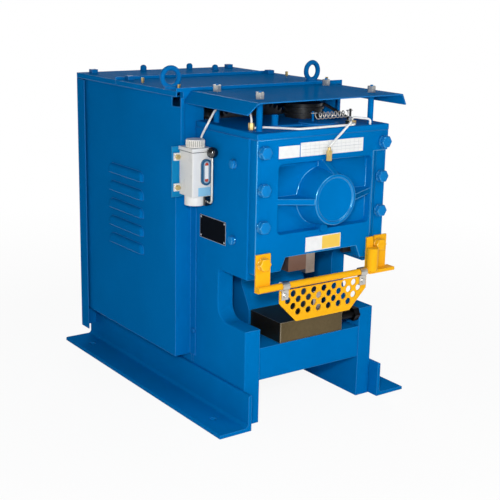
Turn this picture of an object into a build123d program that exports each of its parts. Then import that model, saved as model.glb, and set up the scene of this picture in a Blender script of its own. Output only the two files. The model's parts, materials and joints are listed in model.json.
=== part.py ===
"""A rebar cutting machine: a C-frame shear with a crank-driven ram, a rear drive enclosure and an oiler."""

import math
import os

from build123d import *

os.makedirs("parts", exist_ok=True)

# Driving dimensions in millimetres. X runs across the machine, -Y is its front and Z is up.
# The origin lies on the floor in the middle of the four anchor holes.

# Base rails
rail_length = 906.0
rail_leg = 100.0
rail_thick = 10.0
rail_root_radius = 10.0
rail_toe_radius = 4.0
anchor_gauge = 55.0
anchor_inset = 100.0
anchor_hole = 18.0

# Frame: distances behind the rails' front ends are called setbacks
frame_width = 442.0
plate_thick = 48.0
plate_setback = 36.0
plate_depth = 252.0
plate_edge_round = 3.0
column_top = 264.0
throat_top = 404.0
throat_depth = 131.0
throat_lower_radius = 42.0
throat_upper_radius = 14.0
head_height = 368.0
head_top = throat_top + head_height
bed_setback = 38.0
bed_depth = 240.0
bed_bottom = 120.0
bed_top = 210.0

# Cutting tools
die_chamfer = 1.5
clamp_screw_gap = 2
clamp_nut_ratio = 1.5
wall_toe_lean = 0.55
die_width = 216.0
die_depth = 140.0
die_height = 57.0
die_setback = 40.0
blade_thick = 30.0
blade_length = 90.0
blade_seat = 30.0
blade_gap = 0.3
blade_plane = 5.0
lower_blade_top = 326.0
blade_overlap = 4.0
stroke = 60.0
clamp_screw_dia = 24.0
clamp_nut_height = 18.0
clamp_screw_setback = 52.0
clamp_screw_height = 246.0

# Ram and crank
guide_top_gap = 8
bush_setback = 25
crank_stub = 14
eccentric_inset = 2
sleeve_inset = 4
clutch_flange_step = 12
clutch_flange_thick = 12
crank_drop = 162.0
crank_height = head_top - crank_drop
journal_dia = 70.0
bush_wall = 8.0
eccentric_margin = 3.0
sleeve_wall = 10.0
ram_setback = 68.0
ram_depth = 106.0
ram_lift = 56.0
ram_bottom = throat_top + ram_lift
ram_head_wall = 32.0
guide_thick = 33.0
guide_lip = 14.0
guide_lip_reach = 22.0
nose_width = 60.0
nose_lift = 12.0
pivot_clear = 7.0
window_side_clear = 2.0
slide_clear = 0.3
running_clear = 0.05
bearing_wall_setback = 220.0
bearing_wall_thick = 40.0

# Front cover
recess_draft = 8
drain_boss_rise = 6
head_plate_round = 3
cover_width = 436.0
cover_thick = 31.0
cover_lift = 21.0
cover_bottom = throat_top + cover_lift
recess_width = 312.0
recess_shift = 6.0
recess_below = 87.0
recess_bottom = crank_height - recess_below
recess_above = 96.0
recess_top = crank_height + recess_above
recess_depth = 18.0
recess_corner = 12.0
boss_dia = 134.0
boss_base_dia = 154.0
boss_reach = 50.0
boss_rim = 9.0
boss_dish = 3.0
rib_height = 16.0
rib_reach = 0.96
nipple_boss_dia = 14.0
nipple_drop = 58.0
nipple_boss_height = head_top - nipple_drop
drain_boss_dia = 24.0
drain_lift = 3.0
drain_boss_height = recess_bottom + drain_lift
notch_bottom_width = 270.0
notch_top_width = 240.0
notch_height = 35.0
band_height = 55.0
column_step = 6.0
column_step_width = 51.0
bead_radius = 4.0
bead_x = 178.0
top_plate_thick = 16.0

# Fasteners
cover_bolt_trim = 2.5
screw_hole_depth = 18
cover_screw_grip = 16
eye_left_turn = -5
eye_right_turn = 8
bolt_dia = 20.0
bolt_flats = 30.0
bolt_head = 13.0
washer_dia = 34.0
washer_thick = 5.0
bolt_reach = 70.0
bolt_hole_clear = 0.3
cover_bolt_inset = 21.0
cover_bolt_edge = 31.0
cover_bolt_rows = 4
cover_bolt_low = cover_bottom + cover_bolt_edge
cover_bolt_pitch = (head_top - cover_bolt_edge - cover_bolt_low) / (cover_bolt_rows - 1)
guide_bolt_share = 0.7
guide_bolt_setback = 98.0
guide_bolt_lift = 96.0
guide_bolt_drop = 72.0
guide_bolt_heights = (throat_top + guide_bolt_lift, head_top - guide_bolt_drop)

# Guard
bracket_left_share = 0.4
bracket_right_share = 0.7
guard_post_shift = 1.5
guard_post_lead = 4
clip_gap = 0.5
bracket_thick = 6.0
bracket_width = 45.0
bracket_lap = 55.0
bracket_top = cover_bottom + bracket_lap
guard_rod_dia = 18.0
guard_rod_drop = 36.0
guard_rod_height = cover_bottom - guard_rod_drop
guard_rod_overhang = 22.0
guard_lip_thick = 9.0
guard_lip_overhang = 14.0
guard_slot = 9.0
guard_strip_width = 23.0
guard_post_dia = 32.0
guard_post_length = 54.0
guard_plate_width = 296.0
guard_plate_side = 34.0
guard_plate_height = 90.0
guard_plate_bottom_width = 184.0
guard_plate_thick = 4.0
guard_hole_dia = 18.5
guard_hole_pitch = 34.5
guard_hole_rows = (7, 8, 7, 6)
guard_row_pitch = 17.3
guard_row_inset = 12.0
clip_width = 22.0
clip_thick = 3.0
clip_clear = 0.3
clip_tab = 24.0
clip_inset = 15.0
clip_screw_flats = 10.0
clip_screw_head = 5.0

# Rear enclosure
louvre_flat = 0.5
gland_nut_ratio = 1.3
gland_nut_height = 8
gland_dome_ratio = 0.55
gland_reach = 20
gland_tail = 14
cable_ratio = 0.3
gland_cut_past = 6
sheet = 3.0
bulkhead_thick = 10.0
rear_wall_thick = 8.0
rear_wall_height = 560.0
rail_tail = 44.0
enclosure_setback = plate_setback + plate_depth + bulkhead_thick
enclosure_length = rail_length - rail_tail - enclosure_setback
cover_stand_off = 52.0
cover_foot = 125.0
cover_roof_gap = 14.0
cover_end_gap = 33.0
cover_length = enclosure_length - cover_end_gap
cover_return = 32.0
cover_gap = 3.0
cover_flange = 26.0
cover_lip = 10.0
corner_slot_length = 47.0
corner_slot_height = 25.0
cover_flange_gap = 11.0
cover_screw_heights = (199.0, 580.0)
cover_screw_inset = 20.0
louvre_count = 5
louvre_length = 198.0
louvre_height = 27.0
louvre_reach = 10.0
louvre_corner = 17.0
louvre_wall = 1.8
louvre_pitch = 53.0
louvre_low = 382.0
louvre_shift = 6.0
louvre_setback = enclosure_setback + enclosure_length / 2 - louvre_shift
roof_lift = 94.0
roof_height = head_top + roof_lift
cover_roof = roof_height - cover_roof_gap
roof_width = 566.0
roof_lap = 5.0
roof_setback = plate_setback + plate_depth - roof_lap
roof_front_length = 333.0
roof_split_setback = roof_setback + roof_front_length
roof_lip = 12.0
roof_upstand = 8.0
rear_plate_foot = 58.0
rear_flange = 44.0
tab_drop = 165.0
cover_flange_top = roof_height - tab_drop - cover_flange_gap
tab_width = 40.0
tab_return = 17.0
skirt_strip = 25.0
eye_left_x = -267.0
eye_right_x = 213.0
eye_inset = 55.0
eye_setback = roof_setback + eye_inset
eye_outer_dia = 63.0
eye_inner_dia = 35.0
eye_collar_dia = 36.0
eye_shank_dia = 16.0
eye_shank = 12.0
eye_collar_height = 8.0
stud_dia = 20.0
stud_height = 18.0
stud_inset = 17.0
stud_left = 61.0
stud_middle = 110.0
stud_right = 160.0
stud_step = 75.0
latch_size = 20.0
latch_height = 12.0
latch_inset = 35.0
latch_tail = 40.0
latch_lead = 20.0
roof_screw_flats = 8.0
roof_screw_height = 14.0
roof_screw_inset = 30.0
roof_screw_front = 35.0
roof_screw_rear = 104.0
gland_dia = 25.0
gland_height = 200.0
gland_x = 150.0

# Rain hood
hood_overrun = 5
hood_fold_drop = 0.6
hood_fold_in = 0.4
post_hole_clear = 0.5
post_thread_tip = 3
hood_width = 472.0
hood_front = 24.0
hood_flange_out = 26.0
hood_flange_drop = 30.0
hood_nose_cut = 14.0
post_spacing = 370.0
post_dia = 16.0
post_front_setback = 45.0
post_rear_setback = 238.0
nut_flats = 20.0
nut_height = 17.0

# Drive
crank_hole_clear = 15
pinion_hole_clear = 8
root_depth_share = 1.25
tooth_foot_flare = 0.06
motor_base_margin = 15
motor_neck = 50
motor_neck_step = 8
motor_fan = 20
motor_foot_front = 70
motor_foot_rear = 40
motor_foot_thick = 16
motor_saddle_share = 0.6
motor_box_sink = 0.8
motor_box_reach = 42
motor_bore = 90
rotor_end_gap = 2
gear_module = 5.0
gear_teeth = 84
pinion_teeth = 14
gear_width = 56.0
clutch_clear = 2.0
clutch_length = 21.5
hub_clear = 0.5
gear_hub_dia = 130.0
gear_hub_overhang = 10.0
clutch_setback = enclosure_setback + clutch_clear
gear_setback = clutch_setback + clutch_length + hub_clear + gear_hub_overhang
gear_hole_dia = 90.0
gear_hole_count = 6
tooth_share = 0.40
pinion_extra = 4.0
pinion_shaft_dia = 45.0
bearing_dia = 110.0
bearing_width = 24.0
bearing_flange = 120.0
bearing_flange_thick = 10.0
pulley_inset = 140.0
pulley_setback = rail_length - rail_tail - pulley_inset
cross_plate_gap = 66.0
cross_plate_thick = 16.0
cross_plate_setback = pulley_setback - cross_plate_gap - cross_plate_thick
cross_plate_height = 250.0
flywheel_dia = 400.0
flywheel_rim = 40.0
flywheel_web = 20.0
flywheel_hub_dia = 100.0
pulley_width = 66.0
motor_pulley_dia = 100.0
belt_count = 3
belt_width = 13.0
belt_thick = 9.0
belt_pitch = 19.0
belt_clear = 0.5
motor_centre_height = 112.0
motor_radius = 96.0
motor_length = 250.0
motor_lead = 282.0
motor_setback = pulley_setback - motor_lead
motor_shaft_dia = 28.0
motor_base_thick = 12.0
motor_foot_width = 220.0
motor_box = 90.0

# Oil pump
pump_edge_round = 3
pump_ear_overlap = 4
cap_gap = 0.3
cap_rib_inset = 1.2
cap_rib_radius = 1.6
cap_crown = 2
lever_height_share = 0.6
pivot_proud = 2
lever_engage = 3
lever_end_gap = 2
pump_bolt_tail = 6
gauge_side_gap = 3
gauge_lift = 6
pump_width = 58.0
pump_depth = 67.0
pump_height = 118.0
pump_foot = 600.0
pump_front_setback = 199.0
pump_wall_gap = 5.0
pump_lid_thick = 10.0
pump_lid_lap = 2.0
pump_cap_dia = 50.0
pump_cap_height = 20.0
pump_cap_ribs = 28
pump_neck_dia = 36.0
pump_neck_height = 8.0
pump_cylinder_dia = 56.0
pump_cylinder_height = 26.0
pump_ear_width = 18.0
pump_ear_height = 20.0
pump_ear_thick = 6.0
pump_ear_inset = 18.0
pump_bracket_thick = 4.0
pump_bracket_overhang = 4.0
pump_bracket_margin = 9.0
lever_wire = 8.0
lever_reach = 134.0
lever_gap = 20.0
lever_offset = 19.0
knob_dia = 30.0
pivot_block = 20.0
pivot_depth = 8.0
gauge_width = 30.0
gauge_height = 70.0
gauge_rise = 6.0
small_bolt_flats = 13.0
small_bolt_head = 6.0
small_bolt_dia = 8.0

# Trip gear and oil lines on the head
spring_pin_tip = 3
drum_rib_shares = (0.3, 0.7)
hook_clear = 0.2
spring_samples = 900
hub_x = 24.0
hub_dia = 118.0
hub_thick = 8.0
hub_lift = 1.0
hub_ring = 8.0
hub_step = 3.0
hub_setback = 75.0
hub_pin_dia = 16.0
arm_length = 130.0
lug_dia = 18.0
lug_height = 32.0
arm_width = 30.0
arm_angle = 175.0
spring_wire = 3.0
spring_dia = 20.0
spring_turns = 8
spring_height = 21.0
spring_pin_dia = 6.0
spring_hook = 12.0
spring_length = 130.0
spring_pin_offset = 20.0
spring_pin_setback = 87.0
anchor_dia = 14.0
strut_width = 10.0
strut_thick = 6.0
strut_lift = 6.0
strut_run = 34.0
strut_back = 74.0
strut_rise = 36.0
drum_dia = 104.0
drum_height = 40.0
drum_x = 95.0
drum_setback = 223.0
drum_rib = 5.0
hose_dia = 6.0
fitting_flats = 14.0
fitting_height = 18.0
fitting_nose = 8.0
junction_x = 115.0
junction_setback = 43.0
junction_length = 24.0
junction_width = 16.0
junction_height = 10.0
left_fitting_x = -187.0
left_fitting_setback = 76.0
right_port_x = 158.0
right_port_setback = 14.0
nipple_body = 26.0
nipple_neck = 8.0
nipple_neck_dia = 9.0
hose_lift = 34.0

# Bare plates
name_plate_width = 124.0
name_plate_height = 63.0
name_plate_setback = 134.0
name_plate_low = 476.0
label_thick = 1.0
band_label_drop = 51.0
small_label_left = -151.0
small_label_width = 66.0
small_label_height = 31.0
long_label_left = -82.0
long_label_width = 210.0
long_label_height = 36.0
low_label_left = -56.0
low_label_width = 119.0
low_label_lift = 41.0
low_label_gap = 18.0


def behind(setback):
    """Y of a plane that lies this far behind the front ends of the rails."""
    return setback - rail_length / 2


def block(x, y, z, mode=Mode.ADD):
    """A box between (low, high) pairs along X, Y and Z."""
    spans = (x, y, z)
    with Locations(tuple((low + high) / 2 for low, high in spans)):
        Box(*(high - low for low, high in spans), mode=mode)


def rod(start, direction, radius, length, mode=Mode.ADD):
    """A round bar that starts at a point and runs along a direction."""
    with Locations(Plane(origin=start, z_dir=direction)):
        Cylinder(radius, length, align=(Align.CENTER, Align.CENTER, Align.MIN), mode=mode)


def hexagon(start, direction, flats, height, turn=0):
    """A hexagonal head or nut that stands on a point along a direction."""
    across = (0, 1, 0) if direction[0] else (1, 0, 0)
    with BuildSketch(Plane(origin=start, x_dir=across, z_dir=direction)) as outline:
        RegularPolygon(flats / 2, 6, major_radius=False, rotation=turn)
    extrude(outline.sketch, amount=height)


def hex_bolt(seat, outward, share=1):
    """A frame bolt with its washer: the head stands outward from the seat and the shank goes in."""
    inward = tuple(-value for value in outward)
    head_seat = tuple(point + value * washer_thick * share for point, value in zip(seat, outward))
    rod(seat, outward, washer_dia * share / 2, washer_thick * share)
    hexagon(head_seat, outward, bolt_flats * share, bolt_head * share)
    rod(seat, inward, bolt_dia * share / 2, bolt_reach)


def tube_along(points, radius, diameter):
    """A round tube of one diameter along straight runs joined by arcs of one radius."""
    with BuildLine() as route:
        FilletPolyline(*points, radius=radius)
    with BuildSketch(Plane(origin=route.wire() @ 0, z_dir=route.wire() % 0)) as section:
        Circle(diameter / 2)
    sweep(section.sketch, path=route.wire())


def curved_tube(points, diameter):
    """A round tube along a smooth curve that leaves upwards and comes down at its end."""
    with BuildLine() as route:
        Spline(*points, tangents=((0, 0, 1), (0, 0, -1)))
    with BuildSketch(Plane(origin=route.wire() @ 0, z_dir=route.wire() % 0)) as section:
        Circle(diameter / 2)
    sweep(section.sketch, path=route.wire())


def save(piece, name):
    """Label a finished piece and write it to its own file."""
    piece.part.label = name
    export_step(piece.part, f"parts/{name}.step")


# Places worked out from the sizes above
half_width = frame_width / 2
inner_face = half_width - plate_thick
frame_front = behind(plate_setback)
frame_rear = behind(plate_setback + plate_depth)
cover_front = frame_front - cover_thick
cover_edge = cover_width / 2
head_roof = head_top + top_plate_thick
eccentricity = stroke / 2
eccentric_dia = journal_dia + stroke + 2 * eccentric_margin
sleeve_dia = eccentric_dia + 2 * sleeve_wall
bush_dia = journal_dia + 2 * bush_wall
ram_front = behind(ram_setback)
ram_rear = ram_front + ram_depth
ram_half = inner_face - guide_thick - slide_clear
ram_top = crank_height + eccentricity + sleeve_dia / 2 + pivot_clear + ram_head_wall
die_top = bed_top + die_height
die_front = behind(die_setback)
blade_span = (ram_front + (ram_depth - blade_length) / 2, ram_front + (ram_depth + blade_length) / 2)
upper_blade_bottom = lower_blade_top - blade_overlap + stroke
bolt_hole_radius = bolt_dia / 2 + bolt_hole_clear
guide_hole_radius = bolt_dia * guide_bolt_share / 2 + bolt_hole_clear
cover_bolt_x = cover_edge - cover_bolt_inset + cover_bolt_trim
cover_bolt_heights = [cover_bolt_low + row * cover_bolt_pitch for row in range(cover_bolt_rows)]
gear_distance = gear_module * (gear_teeth + pinion_teeth) / 2
pinion_height = crank_height - gear_distance
bulkhead_rear = frame_rear + bulkhead_thick
enclosure_rear = bulkhead_rear + enclosure_length
motor_front = behind(motor_setback)
motor_rear = motor_front + motor_length
motor_axis = rear_wall_height + motor_base_thick + motor_centre_height
roof_top = roof_height + sheet

# Base rails
with BuildPart() as base_rails:
    for side in (-1, 1):
        with BuildSketch(Plane.XZ.offset(rail_length / 2)) as angle_section:
            with BuildLine():
                Polyline(
                    (side * half_width, 0),
                    (side * (half_width + rail_leg), 0),
                    (side * (half_width + rail_leg), rail_thick),
                    (side * (half_width + rail_thick), rail_thick),
                    (side * (half_width + rail_thick), rail_leg),
                    (side * half_width, rail_leg),
                    close=True,
                )
            make_face()
            root = (side * (half_width + rail_thick), rail_thick, 0)
            foot_toe = (side * (half_width + rail_leg), rail_thick, 0)
            leg_toe = (side * (half_width + rail_thick), rail_leg, 0)
            toes = [foot_toe, leg_toe]
            corners = angle_section.vertices()
            fillet(corners.sort_by_distance(root)[:1], rail_root_radius)
            for toe in toes:
                fillet(angle_section.vertices().sort_by_distance(toe)[:1], rail_toe_radius)
        extrude(amount=-rail_length)
        for end in (-1, 1):
            hole = (side * (half_width + anchor_gauge), end * (rail_length / 2 - anchor_inset), 0)
            rod(hole, (0, 0, 1), anchor_hole / 2, rail_thick, Mode.SUBTRACT)
save(base_rails, "base_rails")

# Side plates with the C-shaped throat
for side, name in ((-1, "side_plate_left"), (1, "side_plate_right")):
    with BuildPart() as side_plate:
        with BuildSketch(Plane.YZ.offset(side * half_width)) as outline:
            with BuildLine():
                Polyline(
                    (frame_front, 0),
                    (frame_rear, 0),
                    (frame_rear, head_top),
                    (frame_front, head_top),
                    (frame_front, throat_top),
                    (frame_front + throat_depth, throat_top),
                    (frame_front + throat_depth, column_top),
                    (frame_front, column_top),
                    close=True,
                )
            make_face()
            lower = (frame_front + throat_depth, column_top, 0)
            upper = (frame_front + throat_depth, throat_top, 0)
            fillet(outline.vertices().sort_by_distance(lower)[:1], throat_lower_radius)
            fillet(outline.vertices().sort_by_distance(upper)[:1], throat_upper_radius)
        extrude(amount=-side * plate_thick)
        throat_edges = side_plate.edges().filter_by(
            lambda edge: edge.center().Z > rail_leg and edge.center().Z < head_top - 1
            and edge.center().Y < frame_rear - 1 and abs(abs(edge.center().X) - half_width) < 0.01
        )
        fillet(throat_edges, plate_edge_round)
        for height in cover_bolt_heights:
            start = (side * cover_bolt_x, frame_front, height)
            rod(start, (0, 1, 0), bolt_hole_radius, bolt_reach, Mode.SUBTRACT)
        for height in guide_bolt_heights:
            start = (side * half_width, behind(guide_bolt_setback), height)
            rod(start, (-side, 0, 0), guide_hole_radius, plate_thick, Mode.SUBTRACT)
        for height in cover_screw_heights:
            start = (side * half_width, bulkhead_rear + cover_gap - cover_screw_inset, height)
            rod(start, (-side, 0, 0), small_bolt_dia / 2 + bolt_hole_clear, screw_hole_depth, Mode.SUBTRACT)
        if side > 0:
            start = (inner_face, behind(clamp_screw_setback), clamp_screw_height)
            rod(start, (1, 0, 0), clamp_screw_dia / 2 + running_clear, plate_thick / 2, Mode.SUBTRACT)
    save(side_plate, name)

# Bed beam and the curved wall behind the die
bed_front = behind(bed_setback)
with BuildPart() as bed_beam:
    block((-inner_face, inner_face), (bed_front, bed_front + bed_depth), (bed_bottom, bed_top))
save(bed_beam, "bed_beam")

die_rear = die_front + die_depth
wall_rear = behind(bearing_wall_setback + bearing_wall_thick)
wall_front = behind(bearing_wall_setback)
with BuildPart() as throat_wall:
    with BuildSketch(Plane.YZ.offset(-die_width / 2)):
        with BuildLine():
            toe = (die_rear, die_top)
            knee = (wall_front, (die_top + throat_top) / 2)
            Line((die_rear, bed_top), toe)
            TangentArc(toe, knee, tangent=(wall_toe_lean, 1))
            Line(knee, (wall_front, throat_top))
            Line((wall_front, throat_top), (wall_rear, throat_top))
            Line((wall_rear, throat_top), (wall_rear, bed_top))
            Line((wall_rear, bed_top), (die_rear, bed_top))
        make_face()
    extrude(amount=die_width)
save(throat_wall, "throat_wall")

# Lower die block, lower blade and the clamp screw
lower_blade_left = blade_plane + blade_thick + blade_gap
lower_blade_x = (lower_blade_left, lower_blade_left + blade_thick)
die_right = blade_plane + die_width / 2
with BuildPart() as die_block:
    block((die_right - die_width, die_right), (die_front, die_rear), (bed_top, die_top))
    chamfer(die_block.edges().filter_by(Axis.Z), die_chamfer)
    seat_x = (lower_blade_x[0] - slide_clear, lower_blade_x[1] + slide_clear)
    seat_y = (blade_span[0] - slide_clear, blade_span[1] + slide_clear)
    block(seat_x, seat_y, (die_top - blade_seat, die_top), Mode.SUBTRACT)
save(die_block, "die_block")

with BuildPart() as lower_blade:
    block(lower_blade_x, blade_span, (die_top - blade_seat, lower_blade_top))
save(lower_blade, "lower_blade")

with BuildPart() as die_clamp_screw:
    tip = (die_right, behind(clamp_screw_setback), clamp_screw_height)
    rod(tip, (1, 0, 0), clamp_screw_dia / 2, inner_face + plate_thick / 2 - die_right - clamp_screw_gap)
    nut = (inner_face - clamp_nut_height, behind(clamp_screw_setback), clamp_screw_height)
    hexagon(nut, (1, 0, 0), clamp_nut_ratio * clamp_screw_dia, clamp_nut_height)
save(die_clamp_screw, "die_clamp_screw")

# Ram with its crank window and nose, upper blade and ram guides
window_half = sleeve_dia / 2 + eccentricity + window_side_clear
window_middle = crank_height + eccentricity
window_rise = sleeve_dia / 2 + pivot_clear
with BuildPart() as ram:
    block((-ram_half, ram_half), (ram_front, ram_rear), (ram_bottom, ram_top))
    window_z = (window_middle - window_rise, window_middle + window_rise)
    block((-window_half, window_half), (ram_front, ram_rear), window_z, Mode.SUBTRACT)
    block((blade_plane - nose_width, blade_plane), blade_span, (upper_blade_bottom + nose_lift, ram_bottom))
save(ram, "ram")

with BuildPart() as upper_blade:
    block((blade_plane, blade_plane + blade_thick), blade_span, (upper_blade_bottom, ram_bottom))
save(upper_blade, "upper_blade")

guide_low = ram_bottom - stroke / 2
guide_high = head_top - guide_top_gap
with BuildPart() as ram_guides:
    for side in (-1, 1):
        back = sorted((side * inner_face, side * (inner_face - guide_thick)))
        lip = sorted((side * (inner_face - guide_thick), side * (inner_face - guide_thick - guide_lip_reach)))
        front = ram_front - slide_clear
        rear = ram_rear + slide_clear
        block(back, (front - guide_lip, rear + guide_lip), (guide_low, guide_high))
        block(lip, (front - guide_lip, front), (guide_low, guide_high))
        block(lip, (rear, rear + guide_lip), (guide_low, guide_high))
        for height in guide_bolt_heights:
            start = (side * inner_face, behind(guide_bolt_setback), height)
            rod(start, (-side, 0, 0), guide_hole_radius, bolt_reach - plate_thick + 2, Mode.SUBTRACT)
save(ram_guides, "ram_guides")

# Crank bearings and crankshaft
with BuildPart() as rear_bearing_wall:
    block((-inner_face, inner_face), (wall_front, wall_rear), (throat_top, head_top))
    rod((0, wall_front, crank_height), (0, 1, 0), bush_dia / 2, bearing_wall_thick, Mode.SUBTRACT)
save(rear_bearing_wall, "rear_bearing_wall")

boss_front = cover_front - boss_reach
front_bush_length = boss_reach + cover_thick - bush_setback
front_bush_rear = frame_front
with BuildPart() as crank_bushes:
    front_bush = (front_bush_rear - front_bush_length, front_bush_length)
    for start, length in (front_bush, (wall_front, bearing_wall_thick)):
        rod((0, start, crank_height), (0, 1, 0), bush_dia / 2, length)
        rod((0, start, crank_height), (0, 1, 0), journal_dia / 2 + running_clear, length, Mode.SUBTRACT)
save(crank_bushes, "crank_bushes")

crank_tail = behind(gear_setback + gear_width + gear_hub_overhang)
with BuildPart() as crankshaft:
    crank_nose = front_bush_rear - front_bush_length + 2
    rod((0, crank_nose, crank_height), (0, 1, 0), journal_dia / 2, crank_tail + crank_stub - crank_nose)
    eccentric_start = (0, ram_front + eccentric_inset, crank_height + eccentricity)
    rod(eccentric_start, (0, 1, 0), eccentric_dia / 2, ram_depth - 2 * eccentric_inset)
    rod((0, behind(clutch_setback), crank_height), (0, 1, 0), gear_hub_dia / 2, clutch_length)
    flange_start = (0, crank_tail + hub_clear, crank_height)
    rod(flange_start, (0, 1, 0), gear_hub_dia / 2 - clutch_flange_step, clutch_flange_thick)
save(crankshaft, "crankshaft")

with BuildPart() as eccentric_sleeve:
    start = (0, ram_front + sleeve_inset, crank_height + eccentricity)
    rod(start, (0, 1, 0), sleeve_dia / 2, ram_depth - 2 * sleeve_inset)
    rod(start, (0, 1, 0), eccentric_dia / 2 + running_clear, ram_depth - 2 * sleeve_inset, Mode.SUBTRACT)
save(eccentric_sleeve, "eccentric_sleeve")

# Front cover casting
recess_floor = cover_front + recess_depth
band_foot = head_top - band_height
with BuildPart() as front_cover:
    block((-cover_edge, cover_edge), (cover_front, frame_front), (cover_bottom, head_top))
    step_x = (cover_edge - column_step_width, cover_edge)
    block(step_x, (cover_front, cover_front + column_step), (cover_bottom, band_foot), Mode.SUBTRACT)
    with BuildSketch(Plane.XZ.offset(-cover_front)):
        with BuildLine():
            Polyline(
                (-notch_bottom_width / 2, cover_bottom),
                (-notch_top_width / 2, cover_bottom + notch_height),
                (notch_top_width / 2, cover_bottom + notch_height),
                (notch_bottom_width / 2, cover_bottom),
                close=True,
            )
        make_face()
    extrude(amount=-cover_thick, mode=Mode.SUBTRACT)
    with BuildSketch(Plane.XZ.offset(-cover_front)):
        with Locations((recess_shift, (recess_bottom + recess_top) / 2)):
            RectangleRounded(recess_width, recess_top - recess_bottom, recess_corner)
    extrude(amount=-recess_depth, taper=recess_draft, mode=Mode.SUBTRACT)
    with BuildSketch(Plane.XZ.offset(-recess_floor)):
        with Locations((0, crank_height)):
            Circle(boss_base_dia / 2)
    boss_height = recess_depth + boss_reach
    extrude(amount=boss_height, taper=math.degrees(math.atan((boss_base_dia - boss_dia) / 2 / boss_height)))
    for side in (-1, 1):
        rib_end = recess_shift + side * recess_width / 2
        with BuildSketch(Plane.XY.offset(crank_height - rib_height / 2)):
            with BuildLine():
                Polyline(
                    (rib_end, recess_floor),
                    (rib_end, cover_front),
                    (side * boss_dia / 2, cover_front - boss_reach * rib_reach),
                    (side * boss_dia / 4, cover_front - boss_reach * rib_reach),
                    (side * boss_dia / 4, recess_floor),
                    close=True,
                )
            make_face()
        extrude(amount=rib_height)
    with BuildSketch(Plane.YZ.offset(-rib_height / 2)):
        with BuildLine():
            Polyline(
                (recess_floor, recess_top),
                (cover_front, recess_top),
                (cover_front - boss_reach * rib_reach, crank_height + boss_dia / 2),
                (cover_front - boss_reach * rib_reach, crank_height + boss_dia / 4),
                (recess_floor, crank_height + boss_dia / 4),
                close=True,
            )
        make_face()
    extrude(amount=rib_height)
    rod((0, cover_front, nipple_boss_height), (0, -1, 0), nipple_boss_dia / 2, fitting_nose)
    rod((0, recess_floor, drain_boss_height), (0, -1, 0), drain_boss_dia / 2, recess_depth + drain_boss_rise)
    rod((bead_x, cover_front + column_step, cover_bottom), (0, 0, 1), bead_radius, band_foot - cover_bottom)
    bush_seat = (0, front_bush_rear - front_bush_length, crank_height)
    rod(bush_seat, (0, 1, 0), bush_dia / 2, front_bush_length, Mode.SUBTRACT)
    dish = (0, boss_front, crank_height)
    rod(dish, (0, 1, 0), boss_dia / 2 - boss_rim, boss_dish, Mode.SUBTRACT)
    for side in (-1, 1):
        for height in cover_bolt_heights:
            start = (side * cover_bolt_x, cover_front, height)
            rod(start, (0, 1, 0), bolt_hole_radius, cover_thick, Mode.SUBTRACT)
save(front_cover, "front_cover")

hub_y = behind(hub_setback)
post_places = [
    (x, behind(setback))
    for x in (-post_spacing / 2, post_spacing / 2)
    for setback in (post_front_setback, post_rear_setback)
]
with BuildPart() as head_top_plate:
    block((-cover_edge, cover_edge), (cover_front, frame_rear), (head_top, head_roof))
    fillet(head_top_plate.faces().sort_by(Axis.Z)[-1].edges(), head_plate_round)
    rod((hub_x, hub_y, head_roof), (0, 0, 1), hub_pin_dia / 2, hub_thick + hub_lift)
    for x, y in post_places:
        rod((x, y, head_roof), (0, 0, 1), post_dia / 2, roof_height - head_roof)
        rod((x, y, roof_height), (0, 0, 1), post_dia / 4, sheet + nut_height + post_thread_tip)
save(head_top_plate, "head_top_plate")

# Frame bolts: the cover's upper three on each side and the two that hold each ram guide
with BuildPart() as frame_bolts:
    for side in (-1, 1):
        seat_y = cover_front + (column_step if side > 0 else 0)
        for height in cover_bolt_heights[1:]:
            seat = cover_front if height > band_foot else seat_y
            hex_bolt((side * cover_bolt_x, seat, height), (0, -1, 0))
        for height in guide_bolt_heights:
            hex_bolt((side * half_width, behind(guide_bolt_setback), height), (side, 0, 0), guide_bolt_share)
save(frame_bolts, "frame_bolts")

# Yellow guard: welded frame, its bolts, the swinging plate and the clips
rod_y = cover_front - bracket_thick - guard_rod_dia / 2
bracket_left = -cover_bolt_x - bracket_left_share * bracket_width
bracket_right = cover_bolt_x + bracket_right_share * bracket_width
lip_foot = guard_rod_height - guard_rod_dia / 2
right_plate_left = bead_x + guard_slot
strip_right = bead_x
right_seat = cover_front + column_step
with BuildPart() as guard_frame:
    plate_y = (cover_front - bracket_thick, cover_front)
    rod_foot = guard_rod_height - guard_rod_dia / 2
    block((bracket_left, bracket_left + bracket_width), plate_y, (rod_foot, bracket_top))
    rod((bracket_left, rod_y, guard_rod_height), (1, 0, 0), guard_rod_dia / 2, strip_right - bracket_left)
    left_lip_x = (bracket_left, bracket_left + bracket_width)
    block(left_lip_x, (rod_y, cover_front - bracket_thick), (rod_foot, rod_foot + guard_lip_thick))
    right_plate_y = (right_seat - bracket_thick, right_seat)
    block((right_plate_left, bracket_right), right_plate_y, (lip_foot, bracket_top))
    right_lip_x = (strip_right - guard_strip_width, bracket_right + guard_lip_overhang)
    block(right_lip_x, (rod_y - guard_rod_dia / 2, right_seat), (lip_foot, lip_foot + guard_lip_thick))
    block((strip_right - guard_strip_width, strip_right), plate_y, (lip_foot, bracket_top))
    post_x = strip_right - guard_strip_width / 2 - guard_post_shift
    post_foot = (post_x, rod_y - guard_post_lead, guard_rod_height)
    rod(post_foot, (0, 0, 1), guard_post_dia / 2, guard_post_length + guard_rod_dia / 2)
    for x, y in ((-cover_bolt_x, cover_front), (cover_bolt_x, right_seat)):
        rod((x, y, cover_bolt_low), (0, -1, 0), bolt_hole_radius, bracket_thick, Mode.SUBTRACT)
save(guard_frame, "guard_frame")

with BuildPart() as guard_bolts:
    hex_bolt((-cover_bolt_x, cover_front - bracket_thick, cover_bolt_low), (0, -1, 0))
    hex_bolt((cover_bolt_x, right_seat - bracket_thick, cover_bolt_low), (0, -1, 0))
save(guard_bolts, "guard_bolts")

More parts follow.
